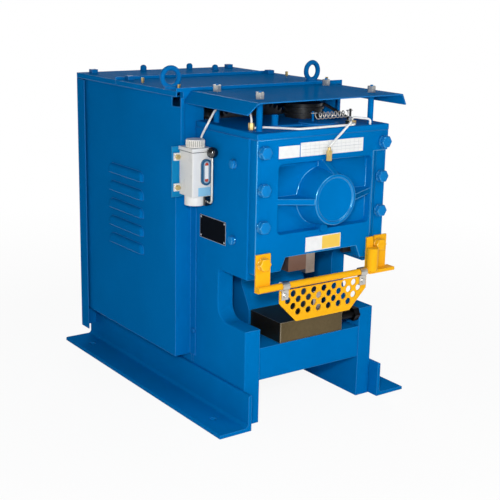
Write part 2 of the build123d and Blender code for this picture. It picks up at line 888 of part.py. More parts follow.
clip_outer = guard_rod_dia / 2 + clip_clear + clip_thick
guard_plate_top = guard_rod_height - clip_outer - clip_gap
with BuildPart() as guard_plate:
    with BuildSketch(Plane.XZ.offset(-(rod_y - guard_plate_thick / 2))):
        with BuildLine():
            side_foot = guard_plate_top - guard_plate_side
            bottom = guard_plate_top - guard_plate_height
            Polyline(
                (-guard_plate_width / 2, guard_plate_top),
                (guard_plate_width / 2, guard_plate_top),
                (guard_plate_width / 2, side_foot),
                (guard_plate_bottom_width / 2, bottom),
                (-guard_plate_bottom_width / 2, bottom),
                (-guard_plate_width / 2, side_foot),
                close=True,
            )
        make_face()
        for row, count in enumerate(guard_hole_rows):
            height = guard_plate_top - guard_row_inset - row * guard_row_pitch
            for index in range(count):
                with Locations(((index - (count - 1) / 2) * guard_hole_pitch, height)):
                    Circle(guard_hole_dia / 2, mode=Mode.SUBTRACT)
    extrude(amount=-guard_plate_thick)
save(guard_plate, "guard_plate")

with BuildPart() as guard_clips:
    for side in (-1, 1):
        middle = side * (guard_plate_width / 2 - clip_inset)
        span = (middle - clip_width / 2, middle + clip_width / 2)
        tab_foot = guard_plate_top - clip_tab
        half_plate = guard_plate_thick / 2
        rod((span[0], rod_y, guard_rod_height), (1, 0, 0), clip_outer, clip_width)
        block(span, (rod_y - half_plate - clip_thick, rod_y - half_plate), (tab_foot, guard_rod_height))
        block(span, (rod_y + half_plate, rod_y + half_plate + clip_thick), (tab_foot, guard_rod_height))
        rod((span[0], rod_y, guard_rod_height), (1, 0, 0), clip_outer - clip_thick, clip_width, Mode.SUBTRACT)
        screw = (middle, rod_y - half_plate - clip_thick, guard_plate_top - clip_tab / 2)
        hexagon(screw, (0, -1, 0), clip_screw_flats, clip_screw_head)
save(guard_clips, "guard_clips")

# Bulkhead, rear walls and drive carriers
with BuildPart() as bulkhead:
    block((-half_width, half_width), (frame_rear, bulkhead_rear), (rail_thick, head_roof))
    crank_hole = (0, frame_rear, crank_height)
    pinion_hole = (0, frame_rear, pinion_height)
    rod(crank_hole, (0, 1, 0), journal_dia / 2 + crank_hole_clear, bulkhead_thick, Mode.SUBTRACT)
    rod(pinion_hole, (0, 1, 0), pinion_shaft_dia / 2 + pinion_hole_clear, bulkhead_thick, Mode.SUBTRACT)
save(bulkhead, "bulkhead")

cross_front = behind(cross_plate_setback)
cross_rear = cross_front + cross_plate_thick
wall_inner = half_width - rear_wall_thick
with BuildPart() as drive_frame:
    for side in (-1, 1):
        wall_x = sorted((side * half_width, side * wall_inner))
        block(wall_x, (bulkhead_rear, enclosure_rear), (rail_thick, rear_wall_height))
    cross_z = (pinion_height - cross_plate_height / 2, pinion_height + cross_plate_height / 2)
    block((-wall_inner, wall_inner), (cross_front, cross_rear), cross_z)
    shaft_hole = (0, cross_front, pinion_height)
    rod(shaft_hole, (0, 1, 0), pinion_shaft_dia / 2 + pinion_hole_clear, cross_plate_thick, Mode.SUBTRACT)
    base_z = (rear_wall_height, rear_wall_height + motor_base_thick)
    base_y = (motor_front - motor_base_margin, motor_rear + motor_base_margin)
    block((-half_width, half_width), base_y, base_z)
save(drive_frame, "drive_frame")

with BuildPart() as pinion_bearings:
    half_flange = bearing_flange / 2
    for seat in (bulkhead_rear, cross_rear):
        block((-half_flange, half_flange), (seat, seat + bearing_flange_thick),
              (pinion_height - half_flange, pinion_height + half_flange))
        rod((0, seat, pinion_height), (0, 1, 0), bearing_dia / 2, bearing_width)
        bore = pinion_shaft_dia / 2 + running_clear
        rod((0, seat, pinion_height), (0, 1, 0), bore, bearing_width, Mode.SUBTRACT)
save(pinion_bearings, "pinion_bearings")


def toothed_wheel(teeth, width, start, height, turn):
    """A spur wheel about an axis along Y, with straight-flanked teeth thinned for running clearance."""
    pitch_radius = gear_module * teeth / 2
    tip = pitch_radius + gear_module
    root = pitch_radius - root_depth_share * gear_module
    step = 2 * math.pi / teeth
    points = []
    for tooth in range(teeth):
        middle = tooth * step + turn
        foot = step * (tooth_share / 2 + tooth_foot_flare)
        crest = step * tooth_share / 4
        for radius, angle in ((root, -foot), (tip, -crest), (tip, crest), (root, foot)):
            points.append((radius * math.sin(middle + angle), radius * math.cos(middle + angle)))
    with BuildSketch(Plane(origin=(0, start, height), x_dir=(1, 0, 0), z_dir=(0, -1, 0))) as outline:
        with BuildLine():
            Polyline(*points, close=True)
        make_face()
    extrude(outline.sketch, amount=-width)


with BuildPart() as main_gear:
    gear_front = behind(gear_setback)
    toothed_wheel(gear_teeth, gear_width, gear_front, crank_height, math.pi / gear_teeth)
    hub_start = (0, gear_front - gear_hub_overhang, crank_height)
    hub_length = gear_width + 2 * gear_hub_overhang
    rod(hub_start, (0, 1, 0), gear_hub_dia / 2, hub_length)
    rod(hub_start, (0, 1, 0), journal_dia / 2 + running_clear, hub_length, Mode.SUBTRACT)
    hole_circle = (gear_module * gear_teeth / 2 + gear_hub_dia / 2) / 2
    for index in range(gear_hole_count):
        angle = 2 * math.pi * index / gear_hole_count
        start = (hole_circle * math.cos(angle), gear_front, crank_height + hole_circle * math.sin(angle))
        rod(start, (0, 1, 0), gear_hole_dia / 2, gear_width, Mode.SUBTRACT)
save(main_gear, "main_gear")

pulley_front = behind(pulley_setback)
pulley_rear = pulley_front + pulley_width
with BuildPart() as pinion_shaft:
    pinion_start = behind(gear_setback) - pinion_extra
    toothed_wheel(pinion_teeth, gear_width + 2 * pinion_extra, pinion_start, pinion_height, 0)
    rod((0, frame_rear + 2, pinion_height), (0, 1, 0), pinion_shaft_dia / 2, pulley_rear - frame_rear)
save(pinion_shaft, "pinion_shaft")


def belt_grooves(radius, height, mode):
    """Ring grooves for the belts in a wheel about an axis along Y."""
    for index in range(belt_count):
        middle = pulley_front + pulley_width / 2 + (index - (belt_count - 1) / 2) * belt_pitch
        start = (0, middle - belt_width / 2 - belt_clear, height)
        width = belt_width + 2 * belt_clear
        groove_floor = radius - belt_thick - 2 * belt_clear
        with BuildSketch(Plane(origin=start, x_dir=(1, 0, 0), z_dir=(0, 1, 0))) as ring:
            Circle(radius + 1)
            Circle(groove_floor, mode=Mode.SUBTRACT)
        extrude(ring.sketch, amount=width, mode=mode)


with BuildPart() as flywheel:
    rim_start = (0, pulley_front, pinion_height)
    web_start = (0, pulley_front + (pulley_width - flywheel_web) / 2, pinion_height)
    rod(rim_start, (0, 1, 0), flywheel_dia / 2, pulley_width)
    rod(rim_start, (0, 1, 0), flywheel_dia / 2 - flywheel_rim, pulley_width, Mode.SUBTRACT)
    rod(web_start, (0, 1, 0), flywheel_dia / 2 - flywheel_rim, flywheel_web)
    rod(rim_start, (0, 1, 0), flywheel_hub_dia / 2, pulley_width)
    rod(rim_start, (0, 1, 0), pinion_shaft_dia / 2 + running_clear, pulley_width, Mode.SUBTRACT)
    belt_grooves(flywheel_dia / 2, pinion_height, Mode.SUBTRACT)
save(flywheel, "flywheel")

# Motor, rotor with pulley, belts
motor_shell = motor_length - motor_neck - motor_fan
with BuildPart() as motor_body:
    rod((0, motor_front, motor_axis), (0, 1, 0), motor_radius - motor_neck_step, motor_length)
    rod((0, motor_front + motor_neck, motor_axis), (0, 1, 0), motor_radius, motor_shell)
    foot_y = (motor_front + motor_foot_front, motor_rear - motor_foot_rear)
    foot_z = (rear_wall_height + motor_base_thick, motor_axis - motor_radius / 2)
    block((-motor_foot_width / 2, motor_foot_width / 2), foot_y, (foot_z[0], foot_z[0] + motor_foot_thick))
    saddle = motor_radius * motor_saddle_share
    block((-saddle, saddle), foot_y, foot_z)
    box_x = (motor_radius * motor_box_sink, motor_radius + motor_box_reach)
    box_y = (motor_front + motor_box, motor_front + 2 * motor_box)
    block(box_x, box_y, (motor_axis - motor_box / 2, motor_axis + motor_box / 2))
    shaft_start = (0, motor_rear - motor_bore, motor_axis)
    rod(shaft_start, (0, 1, 0), motor_shaft_dia / 2 + running_clear, motor_bore, Mode.SUBTRACT)
save(motor_body, "motor_body")

with BuildPart() as motor_rotor:
    shaft_end = motor_rear - motor_bore + rotor_end_gap
    rod((0, shaft_end, motor_axis), (0, 1, 0), motor_shaft_dia / 2, pulley_rear - shaft_end)
    rod((0, pulley_front, motor_axis), (0, 1, 0), motor_pulley_dia / 2, pulley_width)
    belt_grooves(motor_pulley_dia / 2, motor_axis, Mode.SUBTRACT)
save(motor_rotor, "motor_rotor")

with BuildPart() as drive_belts:
    for index in range(belt_count):
        middle = pulley_front + pulley_width / 2 + (index - (belt_count - 1) / 2) * belt_pitch
        plane = Plane(origin=(0, middle - belt_width / 2, 0), x_dir=(1, 0, 0), z_dir=(0, -1, 0))
        for shrink, mode in ((0, Mode.ADD), (belt_thick, Mode.SUBTRACT)):
            with BuildSketch(plane):
                for wheel_dia, height in ((flywheel_dia, pinion_height), (motor_pulley_dia, motor_axis)):
                    with Locations((0, height)):
                        Circle(wheel_dia / 2 - shrink - belt_clear)
                make_hull()
            extrude(amount=-belt_width, mode=mode)
save(drive_belts, "drive_belts")

# Side covers with louvres
cover_face = half_width + cover_stand_off
cover_start = bulkhead_rear + cover_gap
for side, name in ((-1, "side_cover_left"), (1, "side_cover_right")):
    with BuildPart() as side_cover:
        panel_x = sorted((side * cover_face, side * (cover_face - sheet)))
        return_x = sorted((side * cover_face, side * (cover_face - cover_return)))
        flange_x = sorted((side * half_width, side * (half_width + sheet)))
        cover_rear = cover_start + cover_length
        block(panel_x, (cover_start, cover_rear), (cover_foot, cover_roof))
        block(sorted((side * half_width, side * cover_face)), (cover_start, cover_start + sheet),
              (cover_foot, cover_roof))
        block(flange_x, (cover_start - cover_flange, cover_start + sheet), (cover_foot, cover_flange_top))
        upper_y = (cover_start - cover_flange, cover_start)
        block(panel_x, upper_y, (cover_flange_top, cover_roof))
        lip_x = sorted((side * cover_face, side * (cover_face - cover_lip)))
        block(lip_x, (upper_y[0], upper_y[0] + sheet), (cover_flange_top, cover_roof))
        for height in cover_screw_heights:
            seat = (side * (half_width + sheet), cover_start - cover_screw_inset, height)
            rod(seat, (-side, 0, 0), small_bolt_dia / 2 + bolt_hole_clear, sheet, Mode.SUBTRACT)
        block(return_x, (cover_rear - sheet, cover_rear), (cover_foot, cover_roof))
        block(return_x, (cover_start, cover_rear), (cover_roof - sheet, cover_roof))
        block(return_x, (cover_start, cover_rear), (cover_foot, cover_foot + sheet))
        slot_y = (upper_y[0] + sheet, upper_y[0] + corner_slot_length)
        block(return_x, slot_y, (cover_roof - corner_slot_height, cover_roof), Mode.SUBTRACT)
        for index in range(louvre_count):
            low = louvre_low + index * louvre_pitch
            root = (side * (cover_face - sheet), behind(louvre_setback), low)
            for shrink, mode in ((0, Mode.ADD), (louvre_wall, Mode.SUBTRACT)):
                with BuildSketch(Plane(origin=root, x_dir=(0, side, 0), z_dir=(side, 0, 0))) as outline:
                    with Locations((0, louvre_height / 2 - shrink)):
                        Rectangle(louvre_length - 2 * shrink, louvre_height)
                    fillet(outline.vertices().group_by(Axis.Y)[-1], louvre_corner - shrink)
                bulge = extrude(outline.sketch, amount=sheet + louvre_reach - shrink, mode=Mode.PRIVATE)
                crown = bulge.faces().sort_by(Axis.X)[-1 if side > 0 else 0]
                rounded = crown.edges().sort_by(Axis.Z)[1:]
                add(bulge.fillet(louvre_reach - louvre_flat - shrink, rounded), mode=mode)
    save(side_cover, name)

flange_x = half_width + sheet
with BuildPart() as cover_screws:
    for side in (-1, 1):
        for height in cover_screw_heights:
            seat = (side * flange_x, cover_start - cover_screw_inset, height)
            hexagon(seat, (side, 0, 0), small_bolt_flats, small_bolt_head)
            rod(seat, (-side, 0, 0), small_bolt_dia / 2, sheet + cover_screw_grip)
save(cover_screws, "cover_screws")

# Top cover, rear lid, its studs and latch blocks, roof screws, rear plate, eyes and cable gland
roof_front = behind(roof_setback)
roof_split = behind(roof_split_setback)
roof_half = roof_width / 2
with BuildPart() as top_cover:
    block((-roof_half, roof_half), (roof_front, roof_split), (roof_height, roof_top))
    for side in (-1, 1):
        lip_x = sorted((side * roof_half, side * (roof_half - sheet)))
        tab_x = sorted((side * (half_width + 1), side * (half_width + tab_width)))
        block(lip_x, (roof_front, roof_split), (roof_height - roof_lip, roof_height))
        block(tab_x, (roof_front, roof_front + sheet), (roof_height - tab_drop, roof_height))
        return_x = sorted((side * (half_width + tab_width - sheet), side * (half_width + tab_width)))
        block(return_x, (roof_front, roof_front + tab_return), (roof_height - tab_drop, roof_height))
    for side in (-1, 1):
        strip_x = sorted((side * (half_width + tab_width), side * (half_width - skirt_strip)))
        block(strip_x, (roof_front, roof_front + sheet), (head_roof, roof_height))
    block((-roof_half, roof_half), (roof_front, roof_front + sheet), (roof_top, roof_top + roof_upstand))
    for x in (eye_left_x, eye_right_x):
        start = (x, behind(eye_setback), roof_height)
        rod(start, (0, 0, 1), eye_shank_dia / 2 + bolt_hole_clear, sheet, Mode.SUBTRACT)
save(top_cover, "top_cover")

with BuildPart() as rear_lid:
    block((-roof_half, roof_half), (roof_split, enclosure_rear + sheet), (roof_height, roof_top))
    for side in (-1, 1):
        lip_x = sorted((side * roof_half, side * (roof_half - sheet)))
        block(lip_x, (roof_split, enclosure_rear), (roof_height - roof_lip, roof_height))
    block((-roof_half, roof_half), (roof_split, roof_split + sheet), (roof_top, roof_top + roof_upstand))
save(rear_lid, "rear_lid")

lid_end = enclosure_rear - stud_inset
stud_places = ((-stud_left, lid_end), (stud_middle, lid_end), (stud_right, lid_end - stud_step))
latch_rows = (enclosure_rear - latch_tail, roof_split - latch_lead)
latch_places = [(side * (roof_half - latch_inset), y) for side in (-1, 1) for y in latch_rows]
with BuildPart() as lid_studs:
    half_latch = latch_size / 2
    for x, y in stud_places:
        rod((x, y, roof_top), (0, 0, 1), stud_dia / 2, stud_height)
    fillet(lid_studs.faces().filter_by(Axis.Z).group_by(Axis.Z)[-1].edges(), stud_dia / 2 - 1)
    for x, y in latch_places:
        latch_x = (x - half_latch, x + half_latch)
        block(latch_x, (y - half_latch, y + half_latch), (roof_top, roof_top + latch_height))
save(lid_studs, "lid_studs")

screw_rows = (roof_front + roof_screw_front, roof_split - roof_screw_rear)
screw_places = [(side * (roof_half - roof_screw_inset), y) for side in (-1, 1) for y in screw_rows]
with BuildPart() as roof_screws:
    for x, y in screw_places:
        hexagon((x, y, roof_top), (0, 0, 1), roof_screw_flats, roof_screw_height)
save(roof_screws, "roof_screws")

with BuildPart() as rear_plate:
    block((-roof_half, roof_half), (enclosure_rear, enclosure_rear + sheet), (rear_plate_foot, roof_height))
    flange_z = (rear_plate_foot, roof_height - roof_lip - cover_gap)
    for side in (-1, 1):
        flange_x = sorted((side * roof_half, side * (roof_half - sheet)))
        block(flange_x, (enclosure_rear - rear_flange, enclosure_rear), flange_z)
        leg_x = sorted((side * (half_width - 1), side * (half_width + rail_thick + 1)))
        block(leg_x, (enclosure_rear, enclosure_rear + sheet), (rear_plate_foot, rail_leg + 1), Mode.SUBTRACT)
    gland_seat = (gland_x, enclosure_rear, gland_height)
    rod(gland_seat, (0, 1, 0), gland_dia / 2 + running_clear, sheet, Mode.SUBTRACT)
save(rear_plate, "rear_plate")

with BuildPart() as eye_bolts:
    wire = (eye_outer_dia - eye_inner_dia) / 4
    for x, turn in ((eye_left_x, eye_left_turn), (eye_right_x, eye_right_turn)):
        seat = (x, behind(eye_setback), roof_top)
        middle = (x, behind(eye_setback), roof_top + eye_outer_dia / 2)
        rod(seat, (0, 0, 1), eye_collar_dia / 2, eye_collar_height)
        rod(seat, (0, 0, -1), eye_shank_dia / 2, eye_shank)
        ring_across = Vector(1, 0, 0).rotate(Axis.Z, turn)
        ring_plane = Plane(origin=middle, x_dir=ring_across, z_dir=Vector(0, -1, 0).rotate(Axis.Z, turn))
        with Locations(ring_plane):
            Torus(eye_inner_dia / 2 + wire, wire)
save(eye_bolts, "eye_bolts")

with BuildPart() as cable_gland:
    start = (gland_x, enclosure_rear + sheet, gland_height)
    hexagon(start, (0, 1, 0), gland_dia * gland_nut_ratio, gland_nut_height)
    rod(start, (0, 1, 0), gland_dia * gland_dome_ratio, gland_reach)
    rod(start, (0, -1, 0), gland_dia / 2, gland_tail)
    cable_start = (gland_x, enclosure_rear - gland_tail + sheet, gland_height)
    cable_length = gland_tail + gland_reach + gland_cut_past
    rod(cable_start, (0, 1, 0), gland_dia * cable_ratio, cable_length, Mode.SUBTRACT)
save(cable_gland, "cable_gland")

# Rain hood on posts
hood_rear = roof_front - 1
hood_nose = cover_front - hood_front - hood_overrun
with BuildPart() as hood:
    with BuildSketch(Plane.XZ.offset(-hood_nose)):
        with BuildLine():
            edge = hood_width / 2
            tip_x = edge + hood_flange_out
            tip_z = roof_top - hood_flange_drop
            Polyline(
                (-tip_x, tip_z),
                (-edge, roof_top),
                (edge, roof_top),
                (tip_x, tip_z),
                (tip_x - sheet, tip_z - sheet * hood_fold_drop),
                (edge - sheet * hood_fold_in, roof_height),
                (-edge + sheet * hood_fold_in, roof_height),
                (-tip_x + sheet, tip_z - sheet * hood_fold_drop),
                close=True,
            )
        make_face()
    hood_length = hood_rear - hood_nose
    extrude(amount=-hood_length)
    for side in (-1, 1):
        cut_plane = Plane.YZ.offset(side * (edge + 1))
        with BuildSketch(cut_plane):
            with BuildLine():
                Polyline(
                    (hood_nose - 1, roof_top),
                    (hood_nose, roof_top),
                    (hood_nose + hood_nose_cut, tip_z - sheet),
                    (hood_nose - 1, tip_z - sheet),
                    close=True,
                )
            make_face()
        extrude(amount=side * hood_flange_out, mode=Mode.SUBTRACT)
    for x, y in post_places:
        rod((x, y, roof_height), (0, 0, 1), post_dia / 4 + post_hole_clear, sheet, Mode.SUBTRACT)
save(hood, "hood")

with BuildPart() as hood_nuts:
    for x, y in post_places:
        hexagon((x, y, roof_top), (0, 0, 1), nut_flats, nut_height)
        rod((x, y, roof_top), (0, 0, 1), post_dia / 4 + running_clear, nut_height, Mode.SUBTRACT)
save(hood_nuts, "hood_nuts")

# Bare plates: one on the side wall, three on the front cover
with BuildPart() as name_plate:
    plate_y = (behind(name_plate_setback), behind(name_plate_setback) + name_plate_width)
    plate_z = (name_plate_low, name_plate_low + name_plate_height)
    block((-half_width - label_thick, -half_width), plate_y, plate_z)
save(name_plate, "name_plate")

band_label_foot = head_top - band_label_drop
small_label_x = (small_label_left, small_label_left + small_label_width)
long_label_x = (long_label_left, long_label_left + long_label_width)
low_label_x = (low_label_left, low_label_left + low_label_width)
label_spans = (
    (small_label_x, (band_label_foot, band_label_foot + small_label_height)),
    (long_label_x, (band_label_foot, band_label_foot + long_label_height)),
    (low_label_x, (cover_bottom + low_label_lift, recess_bottom - low_label_gap)),
)
with BuildPart() as label_plates:
    for x_span, z_span in label_spans:
        block(x_span, (cover_front - label_thick, cover_front), z_span)
save(label_plates, "label_plates")

# Hand oil pump at the frame's left side
pump_right = -half_width - pump_wall_gap
pump_left = pump_right - pump_width
pump_front = behind(pump_front_setback)
pump_rear = pump_front + pump_depth
pump_top = pump_foot + pump_height
pump_x = (pump_left + pump_right) / 2
pump_y = (pump_front + pump_rear) / 2
ear_left = pump_left - pump_ear_width
with BuildPart() as pump_bracket:
    bracket_z = (pump_foot - pump_bracket_margin, pump_top + pump_bracket_margin)
    bracket_rear = pump_rear + pump_bracket_thick
    block((ear_left - pump_bracket_overhang, -half_width), (pump_rear, bracket_rear), bracket_z)
    block((-half_width - pump_bracket_thick, -half_width), (pump_front, bracket_rear), bracket_z)
    for height in (pump_foot + pump_ear_inset, pump_top - pump_ear_inset):
        start = (ear_left + pump_ear_width / 2, pump_rear, height)
        rod(start, (0, 1, 0), small_bolt_dia / 2 + bolt_hole_clear, pump_bracket_thick, Mode.SUBTRACT)
save(pump_bracket, "pump_bracket")

with BuildPart() as pump_body:
    block((pump_left, pump_right), (pump_front, pump_rear), (pump_foot, pump_top))
    fillet(pump_body.edges().filter_by(Axis.Z), pump_edge_round)
    lid_x = (pump_left - pump_lid_lap, pump_right)
    lid_y = (pump_front - pump_lid_lap, pump_rear)
    block(lid_x, lid_y, (pump_top, pump_top + pump_lid_thick))
    rod((pump_x, pump_y, pump_top), (0, 0, 1), pump_neck_dia / 2, pump_lid_thick + pump_neck_height)
    rod((pump_x, pump_y, pump_foot), (0, 0, -1), pump_cylinder_dia / 2, pump_cylinder_height)
    for height in (pump_foot + pump_ear_inset, pump_top - pump_ear_inset):
        ear_z = (height - pump_ear_height / 2, height + pump_ear_height / 2)
        block((ear_left, pump_left + pump_ear_overlap), (pump_rear - pump_ear_thick, pump_rear), ear_z)
        start = (ear_left + pump_ear_width / 2, pump_rear, height)
        rod(start, (0, -1, 0), small_bolt_dia / 2 + bolt_hole_clear, pump_ear_thick, Mode.SUBTRACT)
save(pump_body, "pump_body")

cap_seat = pump_top + pump_lid_thick + cap_gap
with BuildPart() as pump_cap:
    rod((pump_x, pump_y, cap_seat), (0, 0, 1), pump_cap_dia / 2 - cap_rib_inset, pump_cap_height)
    with BuildSketch(Plane.XY.offset(cap_seat)):
        with Locations((pump_x, pump_y)):
            with PolarLocations(pump_cap_dia / 2 - cap_rib_inset, pump_cap_ribs):
                Circle(cap_rib_radius)
    extrude(amount=pump_cap_height - cap_crown)
    start = (pump_x, pump_y, cap_seat)
    rod(start, (0, 0, 1), pump_neck_dia / 2 + slide_clear, pump_neck_height, Mode.SUBTRACT)
save(pump_cap, "pump_cap")

lever_x = pump_right - pivot_block / 2
lever_y = pump_front - lever_gap
lever_z = pump_foot - pump_cylinder_height * lever_height_share
pivot_front = pump_front - pivot_proud
with BuildPart() as pump_pivot:
    pivot_x = (lever_x - pivot_block / 2, lever_x + pivot_block / 2)
    block(pivot_x, (pivot_front, pivot_front + pivot_depth), (lever_z - pivot_block / 2, pump_foot))
    pivot_seat = (lever_x, pivot_front, lever_z)
    rod(pivot_seat, (0, 1, 0), lever_wire / 2 + running_clear, pivot_depth, Mode.SUBTRACT)
save(pump_pivot, "pump_pivot")

lever_top = lever_z + lever_reach - knob_dia / 2 + lever_engage
with BuildPart() as pump_lever:
    pivot_end = (lever_x, pivot_front + pivot_depth - lever_end_gap, lever_z)
    points = [pivot_end, (lever_x, lever_y, lever_z), (lever_x, lever_y, lever_top)]
    tube_along(points, lever_wire, lever_wire)
save(pump_lever, "pump_lever")

with BuildPart() as pump_knob:
    with Locations((lever_x, lever_y, lever_z + lever_reach)):
        Sphere(knob_dia / 2)
    knob_seat = (lever_x, lever_y, lever_top - knob_dia / 2)
    rod(knob_seat, (0, 0, 1), lever_wire / 2 + running_clear, knob_dia / 2, Mode.SUBTRACT)
save(pump_knob, "pump_knob")

with BuildPart() as pump_bolts:
    for height in (pump_foot + pump_ear_inset, pump_top - pump_ear_inset):
        seat = (ear_left + pump_ear_width / 2, pump_rear - pump_ear_thick, height)
        hexagon(seat, (0, -1, 0), small_bolt_flats, small_bolt_head)
        rod(seat, (0, 1, 0), small_bolt_dia / 2, pump_ear_thick + pump_bracket_thick + pump_bolt_tail)
save(pump_bolts, "pump_bolts")

with BuildPart() as sight_gauge:
    with BuildSketch(Plane.XZ.offset(-pump_front)):
        gauge_x = pump_right - gauge_width / 2 - gauge_side_gap
        gauge_z = (pump_foot + pump_top) / 2 + gauge_lift
        with Locations((gauge_x, gauge_z)):
            SlotOverall(gauge_height, gauge_width, rotation=90)
    extrude(amount=gauge_rise)
save(sight_gauge, "sight_gauge")

# Trip lever, spring, its anchor and the drum on the head
hub_foot = head_roof + hub_lift
hub_top = hub_foot + hub_thick
spring_z = head_roof + spring_height
spring_pin_y = behind(spring_pin_setback)
anchor_x = spring_pin_offset + spring_length
pin_top = spring_z + spring_dia / 2 + spring_pin_tip
with BuildPart() as trip_lever:
    hub_seat = (hub_x, hub_y, hub_foot)
    rod(hub_seat, (0, 0, 1), hub_dia / 2, hub_thick - hub_step)
    rod(hub_seat, (0, 0, 1), hub_dia / 2 - hub_ring, hub_thick)
    arm_heading = Vector(1, 0, 0).rotate(Axis.Z, arm_angle)
    with BuildSketch(Plane(origin=hub_seat, x_dir=arm_heading)):
        with Locations((arm_length / 2, 0)):
            SlotOverall(arm_length + arm_width, arm_width)
    extrude(amount=hub_thick - hub_step)
    rod(tuple(Vector(hub_seat) + arm_heading * arm_length), (0, 0, 1), lug_dia / 2, lug_height)
    rod(hub_seat, (0, 0, 1), hub_pin_dia / 2 + running_clear, hub_thick, Mode.SUBTRACT)
    rod((spring_pin_offset, spring_pin_y, hub_foot), (0, 0, 1), spring_pin_dia / 2, pin_top - hub_foot)
save(trip_lever, "trip_lever")

with BuildPart() as spring_anchor:
    rod((anchor_x, spring_pin_y, head_roof), (0, 0, 1), anchor_dia / 2, spring_height - spring_dia / 2)
    rod((anchor_x, spring_pin_y, head_roof), (0, 0, 1), spring_pin_dia / 2, pin_top - head_roof)
    strut_start = Vector(anchor_x, spring_pin_y, head_roof + strut_lift)
    span = Vector(-strut_run, strut_back, strut_rise)
    across = span.cross(Vector(0, 0, 1)).normalized()
    with BuildSketch(Plane(origin=strut_start, x_dir=across, z_dir=span.normalized())):
        Rectangle(strut_width, strut_thick)
    extrude(amount=span.length)
save(spring_anchor, "spring_anchor")

with BuildPart() as trip_drum:
    rod((drum_x, behind(drum_setback), head_roof), (0, 0, 1), drum_dia / 2, drum_height)
    for share in drum_rib_shares:
        start = (drum_x, behind(drum_setback), head_roof + drum_height * share - drum_rib / 2)
        rod(start, (0, 0, 1), drum_dia / 2 + drum_rib, drum_rib)
save(trip_drum, "trip_drum")


coil_radius = (spring_dia - spring_wire) / 2
coil_left = spring_pin_offset + spring_hook
coil_right = spring_pin_offset + spring_length - spring_hook
coil_pitch = (coil_right - coil_left) / spring_turns
hook_radius = spring_pin_dia / 2 + spring_wire / 2 + hook_clear
hook_z = spring_z + coil_radius


def coil_knot(quarter):
    """A point on the coil and the wire's direction there, a number of quarter turns from its left end."""
    angle = quarter * math.pi / 2
    place = Vector(coil_left + coil_pitch * quarter / 4, spring_pin_y + coil_radius * math.sin(angle),
                   spring_z + coil_radius * math.cos(angle))
    lead = coil_pitch / (2 * math.pi)
    heading = Vector(lead, coil_radius * math.cos(angle), -coil_radius * math.sin(angle))
    return place, heading.normalized()


def two_arcs(first, second):
    """Two arcs that join two knots and keep the wire's direction at both."""
    start, start_heading = first
    end, end_heading = second
    gap = end - start
    lean = 2 * (1 - start_heading.dot(end_heading))
    push = gap.dot(start_heading + end_heading)
    reach = (math.sqrt(push * push + lean * gap.dot(gap)) - push) / lean
    joint = (start + end + (start_heading - end_heading) * reach) * 0.5
    TangentArc(start, joint, tangent=start_heading)
    TangentArc(joint, end, tangent=end_heading * -1, tangent_from_first=False)


anchor_pin_x = spring_pin_offset + spring_length
left_hook = [
    (Vector(spring_pin_offset, spring_pin_y + hook_radius, hook_z), Vector(-1, 0, 0)),
    (Vector(spring_pin_offset - hook_radius, spring_pin_y, hook_z), Vector(0, -1, 0)),
    (Vector(spring_pin_offset, spring_pin_y - hook_radius, hook_z), Vector(1, 0, 0)),
    (Vector(coil_left - hook_radius, spring_pin_y - hook_radius, hook_z), Vector(1, 0, 0)),
]
right_hook = [
    (Vector(coil_right + hook_radius, spring_pin_y + hook_radius, hook_z), Vector(1, 0, 0)),
    (Vector(anchor_pin_x, spring_pin_y + hook_radius, hook_z), Vector(1, 0, 0)),
    (Vector(anchor_pin_x + hook_radius, spring_pin_y, hook_z), Vector(0, -1, 0)),
    (Vector(anchor_pin_x, spring_pin_y - hook_radius, hook_z), Vector(-1, 0, 0)),
]
knots = left_hook + [coil_knot(quarter) for quarter in range(4 * spring_turns + 1)] + right_hook
with BuildPart() as trip_spring:
    with BuildLine() as coil:
        for first, second in zip(knots, knots[1:]):
            if (first[1] - second[1]).length < 1e-6:
                Line(first[0], second[0])
            else:
                two_arcs(first, second)
    wire_path = coil.wire()
    with BuildSketch(Plane(origin=wire_path @ 0, z_dir=wire_path % 0)):
        Circle(spring_wire / 2)
    sweep(path=wire_path)
save(trip_spring, "trip_spring")

samples = [wire_path @ (index / spring_samples) for index in range(spring_samples + 1)]
apart = math.ceil(spring_samples * 4 * spring_wire / wire_path.length)
least = min(
    (samples[i] - samples[j]).length for i in range(len(samples)) for j in range(i + apart, len(samples))
)
print("least gap of the spring to itself", round(least - spring_wire, 2))

# Oil fittings and oil lines
junction_y = behind(junction_setback)
junction_top = head_roof + junction_height
left_fitting = (left_fitting_x, behind(left_fitting_setback), head_roof)
right_port = (right_port_x, behind(right_port_setback), head_roof)
nipple_y = cover_front - fitting_nose - fitting_flats / 2
nipple_foot = nipple_boss_height - nipple_boss_dia / 2
nipple_top = nipple_foot + nipple_body + nipple_neck
with BuildPart() as oil_fittings:
    hexagon(left_fitting, (0, 0, 1), fitting_flats, fitting_height, 30)
    junction_side = (junction_x - junction_length / 2, junction_x + junction_length / 2)
    junction_face = (junction_y - junction_width / 2, junction_y + junction_width / 2)
    block(junction_side, junction_face, (head_roof, junction_top))
    hexagon((0, nipple_y, nipple_foot), (0, 0, 1), fitting_flats, nipple_body)
    rod((0, nipple_y, nipple_foot + nipple_body), (0, 0, 1), nipple_neck_dia / 2, nipple_neck)
save(oil_fittings, "oil_fittings")

